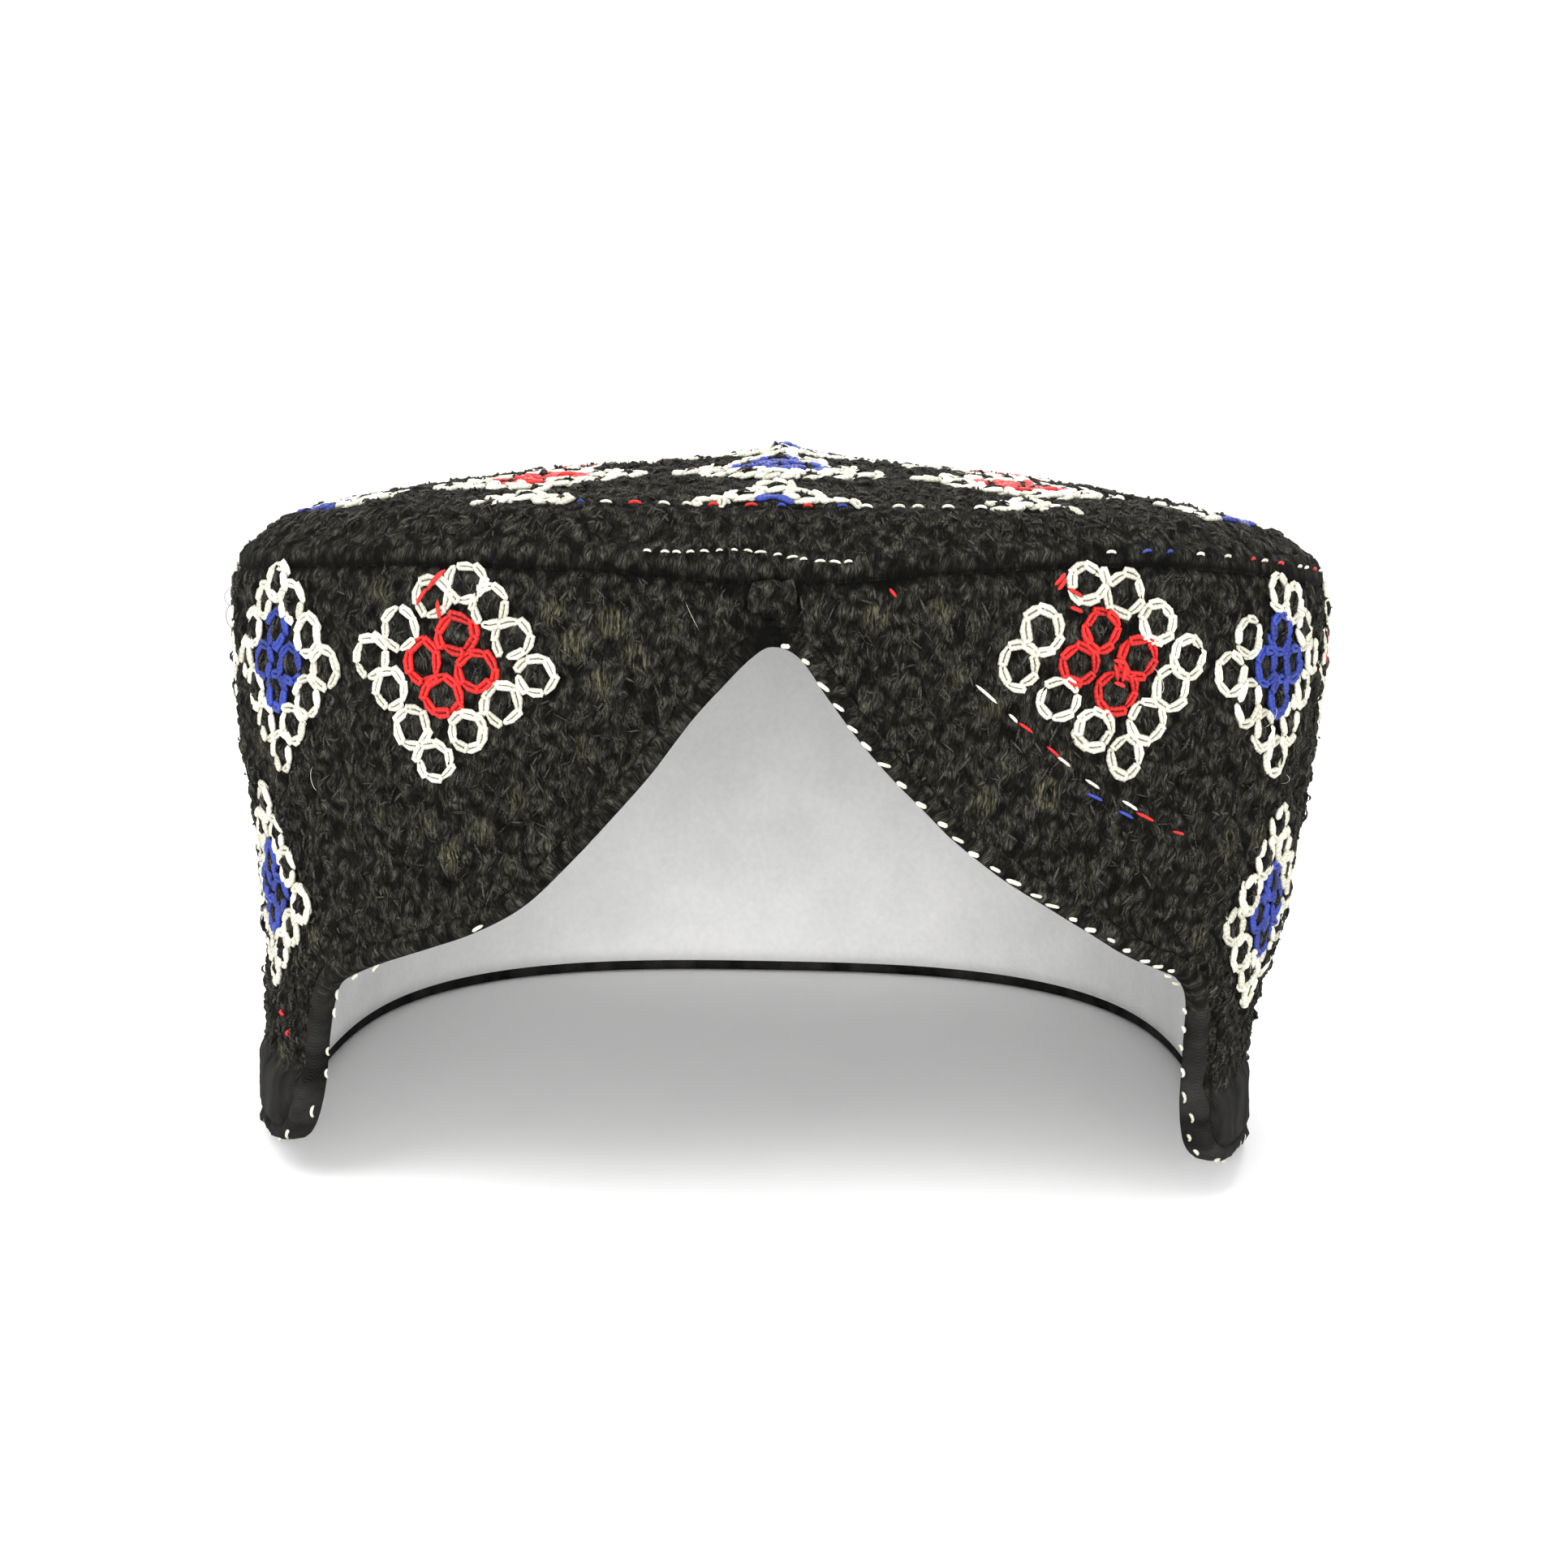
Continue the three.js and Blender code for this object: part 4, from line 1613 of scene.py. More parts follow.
@dataclass
class EdgeBinding:
    """The smooth black strip rolled round the arch and the hem."""

    plan: CapPlan
    shop: Workshop
    face: WallFace
    columns: int = 900
    sides: int = 12
    squareness: float = 3.2
    set_back: float = 0.3
    tucked_in: float = 0.8
    lumps: float = 0.4
    lump_size: float = 2.6
    fine_lumps: float = 0.22
    fine_lump_size: float = 1.1
    tip_blend: tuple[float, float] = (24.0, 32.0)
    apex_place: float = -0.4
    apex_spread: tuple[float, float] = (1.6, 4.2)
    apex_blend: tuple[float, float] = (60.0, 70.0)

    @cached_property
    def edge(self) -> list[Vector]:
        """The whole lower edge laid flat, from the back centre over the arch to the back centre.

        Returns:
            Points, each a length round the wall and a height.
        """
        plan = self.plan
        line = plan.arch_line
        return [Vector((-plan.half_round, 0.0)), *line, Vector((plan.half_round, 0.0))]

    @cached_property
    def lengths(self) -> list[float]:
        """Lengths along the edge at its points.

        Returns:
            The lengths, rising from 0.
        """
        sums = [0.0]
        for a, b in zip(self.edge, self.edge[1:]):
            sums.append(sums[-1] + (b - a).length)
        return sums

    def along(self, length: float) -> tuple[Vector, Vector]:
        """The edge's flat point at a length along it, and its direction into the cloth.

        Args:
            length: Length along the edge.

        Returns:
            The point and the direction.
        """
        length = min(max(length, 0.0), self.lengths[-1])
        i = min(max(bisect.bisect_left(self.lengths, length), 1), len(self.edge) - 1)
        a, b = self.edge[i - 1], self.edge[i]
        part = (length - self.lengths[i - 1]) / max(self.lengths[i] - self.lengths[i - 1], 1e-6)
        before, after = self.edge[max(i - 3, 0)], self.edge[min(i + 2, len(self.edge) - 1)]
        ahead = (after - before).normalized()
        return a + (b - a) * part, Vector((-ahead.y, ahead.x))

    def point(self, across: float, round_it: float) -> ClothPoint:
        """A point of the roll's skin.

        Args:
            across: Share of the way along the edge.
            round_it: Share of the way round the roll.

        Returns:
            The point.
        """
        plan = self.plan
        flat, inward = self.along(across * self.lengths[-1])
        turn = round_it * FULL_TURN
        power = 2 / self.squareness
        wide = math.copysign(abs(math.cos(turn)) ** power, math.cos(turn))
        deep = math.copysign(abs(math.sin(turn)) ** power, math.sin(turn))
        inset = (plan.binding_width + self.tucked_in) / 2 * (1 + wide)
        thickness = plan.wall_cloth + plan.clearance + plan.lining_cloth
        at = flat + inward * inset
        front = self.face.spot(at.x, max(at.y, 0.0))
        low = plan.swell(at.y) + thickness
        depth = self.set_back + (low - self.set_back) * (1 - deep) / 2
        lump = noise.noise(front.translation / self.lump_size) * self.lumps
        lump += noise.noise(front.translation / self.fine_lump_size) * self.fine_lumps
        level = max(at.y, 0.0) if flat.y <= 0.01 else at.y
        place = over(front, lump * (1 + deep) / 2 - depth)
        if flat.y <= 0.01:
            place.z = level + plan.tip_lift(at.x, level)
        # Painted shadow darkens the binding in the hollow at the arch's apex
        at_apex = 1 - smoothstep(abs(flat.x - self.apex_place), *self.apex_spread)
        return ClothPoint(
            place=place, flat=(across * self.lengths[-1], inset + depth), mound=0.5, glint_strength=0.1,
            plain=1 - smoothstep(flat.y, *self.tip_blend),
            crease_shade=at_apex * smoothstep(flat.y, *self.apex_blend),
        )

    def build(self) -> bpy.types.Object:
        """Makes the rolled binding.

        Returns:
            The piece.
        """
        shape = lay_cloth(self.columns, self.sides, self.point)
        mesh = cloth_mesh("edge_binding_roll", shape)
        roll = self.shop.piece("edge_binding_roll", mesh, "ground", EmbroideredGround(), Slot.PLAIN)
        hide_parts("edge_binding")
        return roll


@dataclass
class Linings:
    """The pale cotton inside the wall and inside the crown."""

    plan: CapPlan
    shop: Workshop
    face: WallFace
    columns: int = 300
    rows: ShellRows = field(default_factory=lambda: ShellRows(outer=4, inner=30))
    wrinkle: float = 0.8
    wrinkle_width: float = 16.0
    wrinkle_height: float = 34.0
    edge_fade: float = 6.0
    wall_share: float = 0.87
    crown_share: float = 0.9

    def point(self, across: float, round_it: float) -> ClothPoint:
        """A point of the wall's lining, whose inner side is softly creased.

        Args:
            across: Share of the way round the cap.
            round_it: Share of the way round its section.

        Returns:
            The point.
        """
        plan = self.plan
        u = (across * 2 - 1) * plan.half_round
        foot = plan.foot_height(u)
        share, outer = self.rows.at(round_it)
        v = foot + (plan.wall_height - foot) * share
        spot = self.face.spot(u, v)
        depth = plan.wall_cloth + plan.clearance + plan.swell(v)
        if not outer:
            x, y, z = spot.translation
            wide, tall = self.wrinkle_width, self.wrinkle_height
            fold = noise.noise(Vector((x / wide, y / wide, z / tall))) * 0.5 + 0.5
            held = smoothstep(v - foot, 0.0, self.edge_fade)
            held *= smoothstep(plan.wall_height - v, 0.0, self.edge_fade)
            depth += plan.lining_cloth + self.wrinkle * fold * held
        return ClothPoint(place=over(spot, -depth), flat=(u, v))

    def build(self) -> None:
        shape = lay_cloth(self.columns, self.rows.total, self.point)
        wall = self.shop.piece(
            "wall_lining_cotton", cloth_mesh("wall_lining_cotton", shape), "cotton", Cotton(), Slot.COTTON
        )
        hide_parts("wall_lining")
        length, height = 2 * self.plan.half_round * MM, self.plan.wall_height * MM
        length * height * self.wall_share
        shape = bmesh.new()
        shape.from_mesh(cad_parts["crown_lining"].data)
        bmesh.ops.scale(shape, vec=(1 / MM, 1 / MM, 1 / MM), verts=shape.verts)
        crown = self.shop.piece(
            "crown_lining_cotton", cloth_mesh("crown_lining_cotton", shape), "cotton", Cotton(), Slot.COTTON
        )
        finer = crown.modifiers.new("soft", "SUBSURF")
        finer.levels = finer.render_levels = 1
        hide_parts("crown_lining")
        length, width = 2 * self.plan.half_depth * MM, 2 * self.plan.half_width * MM
        width * length * self.crown_share


@dataclass
class StitchPattern:
    """One stitch's shape as arrays, made once from a bmesh and copied many times."""

    shape: bmesh.types.BMesh

    def __post_init__(self) -> None:
        """Reads the points, the faces and a map along and round the thread."""
        bmesh.ops.recalc_face_normals(self.shape, faces=self.shape.faces)
        self.shape.verts.index_update()
        self.points = np.array([tuple(vert.co) for vert in self.shape.verts])
        self.faces = [[vert.index for vert in face.verts] for face in self.shape.faces]
        reach = max(float(np.abs(self.points[:, 1]).max()), 1e-6)
        self.flat = np.array([
            (self.points[k, 1] / (2 * reach), math.atan2(self.points[k, 2], self.points[k, 0]) / FULL_TURN)
            for face in self.faces for k in face
        ])
        self.shape.free()


def chain_link(thread: float = 0.36, half_slit: float = 0.385, half_length: float = 1.7,
               bend_radius: float = 4.6) -> StitchPattern:
    """A closed loop of thread, as one link of a chain stitch that runs round a ring.

    Args:
        thread: Half of the thread's thickness.
        half_slit: From the middle of the loop to the middle of the thread at its side.
        half_length: Half of the loop's whole length.
        bend_radius: The arc that the link is bent along.

    Returns:
        The link, lying along Y with the arc's centre on its negative X side.
    """
    shape = bmesh.new()
    origin, upright, steps = Vector((0, 0, 0)), Vector((0, 0, 1)), 6
    bmesh.ops.create_circle(shape, segments=4, radius=thread)
    bmesh.ops.rotate(shape, verts=shape.verts, cent=origin, matrix=Matrix.Rotation(math.pi / 2, 3, "X"))
    bmesh.ops.translate(shape, verts=shape.verts, vec=(half_slit, 0, 0))
    bmesh.ops.rotate(shape, verts=shape.verts, cent=origin, matrix=Matrix.Rotation(math.pi / steps, 3, "Z"))
    bmesh.ops.spin(shape, geom=shape.edges[:], cent=origin, axis=upright, angle=FULL_TURN, steps=steps,
                   use_merge=True)
    stretch = half_length - half_slit - thread
    for side in (-1, 1):
        end = [vert for vert in shape.verts if vert.co.y * side > 0]
        bmesh.ops.translate(shape, verts=end, vec=(0, stretch * side, 0))
    whole = [*shape.verts, *shape.edges, *shape.faces]
    bmesh.ops.bisect_plane(shape, geom=whole, plane_co=origin, plane_no=(0, 1, 0), dist=1e-5)
    start = [vert for vert in shape.verts if vert.co.y < -0.1]
    bmesh.ops.scale(shape, vec=(0.68, 1, 0.9), verts=start)
    bmesh.ops.translate(shape, verts=start, vec=(0, 0, -0.14))
    middle = [vert for vert in shape.verts if abs(vert.co.y) <= 0.1]
    bmesh.ops.scale(shape, vec=(1.12, 1, 1.1), verts=middle)
    for vert in shape.verts:
        angle, away = vert.co.y / bend_radius, bend_radius + vert.co.x
        vert.co.x, vert.co.y = away * math.cos(angle) - bend_radius, away * math.sin(angle)
    return StitchPattern(shape)


def bowed_strand(length: float, thickness: float, bow: float, sides: int, steps: int) -> StitchPattern:
    """A short thread bent in an arc, its ends low and its middle high.

    Args:
        length: From end to end.
        thickness: The thread's thickness.
        bow: Height of the middle over the ends.
        sides: Sides of the thread's section.
        steps: Steps along the arc.

    Returns:
        The strand, lying along Y and bowed up along Z.
    """
    shape = bmesh.new()
    radius = (length * length / 4 + bow * bow) / (2 * bow)
    angle = 2 * math.asin(min(length / (2 * radius), 1.0))
    centre = Vector((0, 0, bow - radius))
    bmesh.ops.create_circle(shape, segments=sides, radius=thickness / 2)
    bmesh.ops.rotate(shape, verts=shape.verts, cent=(0, 0, 0), matrix=Matrix.Rotation(math.pi / 2, 3, "X"))
    bmesh.ops.translate(shape, verts=shape.verts, vec=(0, 0, bow))
    bmesh.ops.rotate(shape, verts=shape.verts, cent=centre, matrix=Matrix.Rotation(-angle / 2, 3, "X"))
    bmesh.ops.spin(shape, geom=shape.edges[:], cent=centre, axis=(1, 0, 0), angle=angle, steps=steps)
    for side in (-1, 1):
        end = [vert for vert in shape.verts if vert.co.y * side > length * 0.45]
        middle = sum((vert.co for vert in end), Vector()) / len(end)
        bmesh.ops.scale(shape, vec=(0.4, 0.4, 0.4), space=Matrix.Translation(-middle), verts=end)
    bmesh.ops.holes_fill(shape, edges=shape.edges, sides=sides)
    return StitchPattern(shape)


@dataclass
class StitchBag:
    """Many copies of one stitch, joined into one piece."""

    name: str
    pattern: StitchPattern
    colour: Slot
    matrices: list[np.ndarray] = field(default_factory=list)
    tones: list[float] = field(default_factory=list)

    def add(self, spot: Matrix, turn: float, size: tuple[float, float, float], tone: float,
            pitch: float = 0.0, lift: float = 0.0) -> None:
        """Adds one stitch.

        Args:
            spot: The frame of the cloth under it.
            turn: Its direction, counter-clockwise from up, in radians.
            size: Its scale across, along and out of the cloth.
            tone: Its shade, from 0 to 1.
            pitch: How far its far end is tipped up, in radians.
            lift: How far it stands off the cloth.
        """
        rise = Matrix.Translation((0, 0, lift))
        made = spot @ rise @ Matrix.Rotation(turn, 4, "Z") @ Matrix.Rotation(pitch, 4, "X")
        self.matrices.append(np.array(made @ Matrix.Diagonal((*size, 1.0))))
        self.tones.append(tone)

    def sew(self, shop: Workshop) -> bpy.types.Object | None:
        """Joins the stitches into one mesh, in metres.

        Args:
            shop: Where pieces are made.

        Returns:
            The piece, or none where the bag is empty.
        """
        if not self.matrices:
            return None
        moves = np.array(self.matrices)
        points = np.einsum("nij,kj->nki", moves[:, :3, :3], self.pattern.points) + moves[:, None, :3, 3]
        count, each = len(moves), len(self.pattern.points)
        faces = [[k + each * n for k in face] for n in range(count) for face in self.pattern.faces]
        mesh = bpy.data.meshes.new(self.name)
        mesh.from_pydata((points.reshape(-1, 3) * MM).tolist(), [], faces)
        mesh.shade_smooth()
        layer = mesh.uv_layers.new(name="thread")
        layer.data.foreach_set("uv", np.tile(self.pattern.flat, (count, 1)).ravel())
        tone = mesh.attributes.new("tone", "FLOAT", "POINT")
        tone.data.foreach_set("value", np.repeat(np.array(self.tones), each))
        return shop.piece(self.name, mesh, self.colour.value + "_thread", THREADS[self.colour], self.colour)


@dataclass
class RingStitches:
    """The chain-stitched rings of the motifs and the black stitches of the ground round them."""

    face: Face
    ground: StitchedGround
    lift: Callable[[float, float], float]
    rng: random.Random
    name: str
    edge_margin: float = 0.35
    links: tuple[int, ...] = (6, 6, 7)
    pulled_in: tuple[float, ...] = (1.0, 0.8, 0.6)
    radius_spread: tuple[float, float] = (0.93, 1.06)
    size_spread: tuple[float, float] = (0.9, 1.08)
    stretch_spread: tuple[float, float] = (0.92, 1.08)
    link_lift: float = 0.2
    strokes_black: int = 10
    strokes_inside: int = 4
    stroke_reach: float = 2.9
    inside_reach: float = 1.3
    stroke_sunk: float = 0.16

    def link_ring(self, cell: Cell, bag: StitchBag) -> None:
        """One ring of chain-stitch links.

        Args:
            cell: The ring's cell.
            bag: Where the links go.
        """
        rng = self.rng
        radius = self.ground.ring_radius * rng.uniform(*self.radius_spread)
        size = rng.uniform(*self.size_spread)
        stretch = rng.uniform(*self.stretch_spread)
        count = rng.choice(self.links)
        for k in range(count):
            angle = cell.phase + FULL_TURN * (k + rng.uniform(-0.14, 0.14)) / count
            away = radius * rng.uniform(*self.radius_spread)
            across, up = away * math.cos(angle) * stretch, away * math.sin(angle) / stretch
            places = [(cell.u + across * share, cell.v + up * share) for share in self.pulled_in]
            place = next((place for place in places if self.face.holds(*place, self.edge_margin)), None)
            if place is None:
                continue
            bag.add(
                self.face.spot(*place), angle + rng.uniform(-0.15, 0.15),
                (size * rng.uniform(0.88, 1.12), size * rng.uniform(*self.size_spread), 1.05),
                rng.random(), pitch=rng.uniform(0.02, 0.12), lift=self.lift(*place) * 0.6 + self.link_lift,
            )

    def black_strokes(self, cell: Cell, bag: StitchBag) -> None:
        """Short black stitches, round a black ring and upright over the mound.

        Args:
            cell: The cell they lie on.
            bag: Where the stitches go.
        """
        rng = self.rng
        count = self.strokes_inside if cell.colour else self.strokes_black
        for _ in range(count):
            upright = cell.colour is not None or rng.random() < 0.6
            if cell.colour:
                away = rng.uniform(0, self.inside_reach)
            else:
                away = math.sqrt(rng.random()) * self.stroke_reach
            angle = rng.uniform(0, FULL_TURN)
            u, v = cell.u + away * math.cos(angle), cell.v + away * math.sin(angle)
            if not self.face.holds(u, v, 0.3):
                continue
            turn = rng.gauss(0, 0.6) if upright else angle + rng.gauss(0, 0.6)
            size = rng.uniform(0.5, 1.6)
            bag.add(
                self.face.spot(u, v), turn, (rng.uniform(0.6, 1.2), size, rng.uniform(0.6, 1.2)),
                rng.random() ** 2.2, pitch=rng.gauss(0, 0.12), lift=self.lift(u, v) - self.stroke_sunk,
            )

    def build(self, shop: Workshop) -> None:
        """Sews the rings by colour, and the black stitches.

        Args:
            shop: Where pieces are made.
        """
        link = chain_link()
        strand = bowed_strand(length=1.7, thickness=0.42, bow=0.3, sides=3, steps=3)
        bags = {
            slot: StitchBag(f"{self.name}_rings_{word}", link, slot) for slot, word in BRIGHT_THREADS.items()
        }
        black = StitchBag(f"{self.name}_black_stitches", strand, Slot.EMBROIDERY)
        for cell in self.ground.cells:
            if cell.colour:
                self.link_ring(cell, bags[cell.colour])
            self.black_strokes(cell, black)
        for bag in (*bags.values(), black):
            bag.sew(shop)


@dataclass(frozen=True)
class Tack:
    """One loose running stitch: its place, its direction from up, its length and its colour."""

    u: float
    v: float
    turn: float
    length: float
    colour: Slot = Slot.RED


# The variegated tacking line on the right panel, from the strip down to the side
PANEL_TACKS = (
    Tack(27.5, 71.2, 50, 3.5, Slot.WHITE),
    Tack(31.1, 68.1, 46, 1.5, Slot.WHITE),
    Tack(32.8, 66.9, 56, 2.2),
    Tack(36.7, 63.8, 50, 2.2),
    Tack(38.2, 62.6, 54, 2.2, Slot.WHITE),
    Tack(42.5, 59.7, 58, 2.3, Slot.WHITE),
    Tack(43.0, 58.1, 66, 2.4, Slot.BLUE),
    Tack(48.4, 56.8, 60, 2.6, Slot.WHITE),
    Tack(50.9, 55.3, 66, 3.0),
    Tack(47.9, 55.7, 64, 2.4, Slot.BLUE),
    Tack(56.8, 53.1, 75, 2.0),
    Tack(15.2, 84.3, 40, 1.3),
)

# Red strands that run over the top left ring of each red motif, and the knot in the right one
RED_STRANDS = (
    Tack(-43.6, 84.6, -44, 2.8),
    Tack(-44.1, 84.2, -38, 3.2),
    Tack(-45.9, 82.2, -34, 2.6),
    Tack(-43.4, 80.6, 12, 2.4),
    Tack(36.6, 84.7, -42, 2.0),
    Tack(36.9, 84.1, -36, 1.8),
    Tack(38.7, 83.0, 62, 2.2),
    Tack(38.9, 81.0, 70, 1.8),
    Tack(44.7, 73.3, 12, 2.2),
    Tack(45.8, 73.1, -10, 2.2),
    Tack(45.3, 71.8, 70, 1.6),
    Tack(45.1, 74.6, 80, 1.6),
    Tack(-81.2, 22.9, 60, 1.1),
    Tack(-78.6, 20.2, -10, 0.9),
)


@dataclass(frozen=True)
class DashRow:
    """A level row of running stitches on the strip.

    wander is how far each stitch strays along the row, and tilt how far it turns, in radians.
    """

    count: int
    start: float
    pitch: float
    wander: float
    tilt: float
    lengths: tuple[float, float]
    width: float
    lift: float
    colours: tuple[Slot, ...]


MIXED_THREADS = (Slot.WHITE, Slot.WHITE, Slot.WHITE, Slot.WHITE, Slot.RED, Slot.BLUE)
STRIP_FOOT_ROW = DashRow(15, start=-16.0, pitch=1.82, wander=0.25, tilt=0.12, lengths=(0.9, 1.6), width=0.66,
                         lift=0.6, colours=(Slot.WHITE,))
STRIP_SIDE_ROW = DashRow(12, start=45.0, pitch=4.6, wander=1.2, tilt=0.15, lengths=(0.8, 1.6), width=0.9,
                         lift=0.5, colours=MIXED_THREADS)
CROWN_EDGE_ROW = DashRow(15, start=-27.0, pitch=3.9, wander=0.8, tilt=0.12, lengths=(0.9, 1.8), width=0.85,
                         lift=0.3, colours=MIXED_THREADS)


@dataclass
class LooseStitches:
    """The running stitches, the stitches over the edge and the loose fibres."""

    plan: CapPlan
    wall: WallFace
    strip: StripFace
    binding: EdgeBinding
    rng: random.Random
    dash_length: float = 2.0
    tack_lift: float = 0.6
    strand_width: float = 1.35
    strand_lift: float = 0.95
    row_inset: float = 0.9
    edge_pitch: float = 3.4
    bare_side: tuple[float, float] = (-130.0, 1.5)
    bare_share: float = 0.94
    tip_span: tuple[float, float] = (3.0, 34.0)
    tip_gaps: float = 0.3
    hem_inset: float = 1.1
    edge_lengths: tuple[float, float] = (1.1, 2.3)
    edge_widths: tuple[float, float] = (1.1, 1.7)
    arch_lift: float = -0.15
    hem_lift: float = -0.85
    tip_lifts: tuple[float, float] = (-3.3, -2.4)
    fibre_counts: tuple[tuple[Slot, str, int], ...] = (
        (Slot.WHITE, "pale", 40), (Slot.EMBROIDERY, "black", 120),
    )

    def dash(self, bag: StitchBag, spot: Matrix, turn: float, length: float, width: float = 1.0,
             lift: float = 0.4) -> None:
        """One running stitch of a given length."""
        size = (width, length / self.dash_length, 1.0)
        bag.add(spot, turn, size, self.rng.random(), lift=lift)

    def build(self, shop: Workshop) -> None:
        """Sews all loose stitches.

        Args:
            shop: Where pieces are made.
        """
        pattern = bowed_strand(length=self.dash_length, thickness=0.42, bow=0.3, sides=6, steps=5)
        bags = {slot: StitchBag(f"tacking_{word}", pattern, slot) for slot, word in BRIGHT_THREADS.items()}
        self.panel_line(bags)
        self.strip_lines(bags)
        for bag in bags.values():
            bag.sew(shop)
        edge = StitchBag("edge_stitches", pattern, Slot.WHITE)
        self.edge_line(edge)
        edge.sew(shop)
        self.fibres(shop)

    def panel_line(self, bags: dict[Slot, StitchBag]) -> None:
        """The tacking line down the right panel, which runs on level round the side.

        Args:
            bags: The bags of stitches, by colour.
        """
        lines = ((PANEL_TACKS, 1.0, self.tack_lift), (RED_STRANDS, self.strand_width, self.strand_lift))
        for tacks, width, lift in lines:
            for tack in tacks:
                self.dash(bags[tack.colour], self.wall.spot(tack.u, tack.v), math.radians(tack.turn),
                          tack.length, width=width, lift=lift)

    def strip_lines(self, bags: dict[Slot, StitchBag]) -> None:
        """White dashes along the strip's foot, and mixed ones along the crown's edge.

        Args:
            bags: The bags of stitches, by colour.
        """
        self.strip_row(bags, STRIP_FOOT_ROW,
                       lambda u: 2.2 + 1.1 * bell(u + 4.5, 6.5) - 0.6 * smoothstep(u, 0, 9))
        self.strip_row(bags, STRIP_SIDE_ROW, lambda u: self.row_inset)
        self.strip_row(bags, CROWN_EDGE_ROW, lambda u: self.strip.slant - self.row_inset)

    def strip_row(self, bags: dict[Slot, StitchBag], row: DashRow, height: Callable[[float], float]) -> None:
        """Sews one row along the strip.

        Args:
            bags: The bags of stitches, by colour.
            row: The row's sizes.
            height: Gives the place up the slant at a length round the seam.
        """
        rng = self.rng
        for k in range(row.count):
            u = row.start + k * row.pitch + rng.uniform(-row.wander, row.wander)
            colour = rng.choice(row.colours) if len(row.colours) > 1 else row.colours[0]
            self.dash(bags[colour], self.strip.spot(u, height(u)), math.pi / 2 + rng.gauss(0, row.tilt),
                      rng.uniform(*row.lengths), width=row.width, lift=row.lift)

    def edge_line(self, bag: StitchBag) -> None:
        """Cream stitches over the binding, close on the right and round the hem, few on the left.

        Args:
            bag: Where the stitches go.
        """
        rng = self.rng
        middle = self.binding.lengths[-1] / 2
        length = 0.0
        while length < self.binding.lengths[-1]:
            length += self.edge_pitch * rng.uniform(0.8, 1.2)
            from_front = length - middle
            flat, inward = self.binding.along(length)
            low, high = self.tip_span
            on_tip = low < flat.y < high
            on_bare_side = self.bare_side[0] < from_front < self.bare_side[1] and flat.y >= high
            if on_bare_side and rng.random() < self.bare_share:
                continue
            if on_tip and rng.random() < self.tip_gaps:
                continue
            at = flat + inward * (-0.2 if on_tip else rng.uniform(0.15, 0.4))
            lean = math.atan2(inward.y, inward.x) + rng.gauss(0.3, 0.1)
            if flat.y < 0.5:
                at = flat + inward * self.hem_inset
            length_here, width = rng.uniform(*self.edge_lengths), rng.uniform(*self.edge_widths)
            lift = self.hem_lift if flat.y <= low else self.arch_lift
            if on_tip:
                lift = rng.uniform(*self.tip_lifts)
            self.dash(bag, self.wall.spot(at.x, at.y), lean, length_here, width=width, lift=lift)

    def fibres(self, shop: Workshop) -> None:
        """A few fine fibres standing off the cloth.

        Args:
            shop: Where pieces are made.
        """
        rng = self.rng
        hair = bowed_strand(length=4.0, thickness=0.07, bow=1.1, sides=3, steps=6)
        for slot, word, count in self.fibre_counts:
            bag = StitchBag(f"loose_fibres_{word}", hair, slot)
            while len(bag.tones) < count:
                u, v = rng.uniform(-self.plan.half_round, self.plan.half_round), rng.uniform(16, 84)
                if not self.wall.holds(u, v, 1.5):
                    continue
                size = rng.uniform(0.5, 1.3)
                turn = rng.uniform(0, FULL_TURN)
                bag.add(self.wall.spot(u, v), turn, (1.0, size, size * rng.uniform(0.4, 1.2)),
                        rng.random(), pitch=rng.gauss(0, 0.3), lift=0.5)
            bag.sew(shop)


@dataclass
class FrontTab:
    """The small square of cloth sewn over the join above the arch."""

    plan: CapPlan
    shop: Workshop
    face: WallFace
    half_width: float = 3.0
    low: float = 82.6
    high: float = 86.6
    thickness: float = 1.6
    padding: float = 0.35
    raggedness: float = 0.8
    lumps: float = 0.6

    def build(self) -> bpy.types.Object:
        """Makes the tab as a padded slab laid on the wall.

        Returns:
            The piece.
        """
        shape = bmesh.new()
        bmesh.ops.create_cube(shape, size=1.0)
        bmesh.ops.bevel(shape, geom=shape.edges[:], offset=0.16, segments=3, profile=0.5, affect="EDGES",
                        material=-1)
        bmesh.ops.subdivide_edges(shape, edges=shape.edges[:], cuts=3, use_grid_fill=True)
        middle, tall = (self.low + self.high) / 2, self.high - self.low
        flat = shape.loops.layers.uv.new("cloth")
        for face in shape.faces:
            for loop in face.loops:
                loop[flat].uv = (loop.vert.co.x * 2 * self.half_width, loop.vert.co.y * tall)
        for vert in shape.verts:
            u, v = vert.co.x * 2 * self.half_width, middle + vert.co.y * tall
            u += noise.noise(Vector((u, v, 3)) / 1.6) * self.raggedness
            v += noise.noise(Vector((u, v, 8)) / 1.6) * 0.7
            spot = self.face.spot(u, v)
            puff = self.padding * (1 - (2 * vert.co.x) ** 2) * (1 - (2 * vert.co.y) ** 2)
            lump = noise.noise(spot.translation / 1.1) * self.lumps
            out = (vert.co.z - 0.1) * self.thickness + (puff + lump) * (vert.co.z > 0)
            vert.co = over(spot, out)
        mesh = cloth_mesh("front_tab", shape)
        return self.shop.piece("front_tab", mesh, "ground", EmbroideredGround(), Slot.PLAIN)


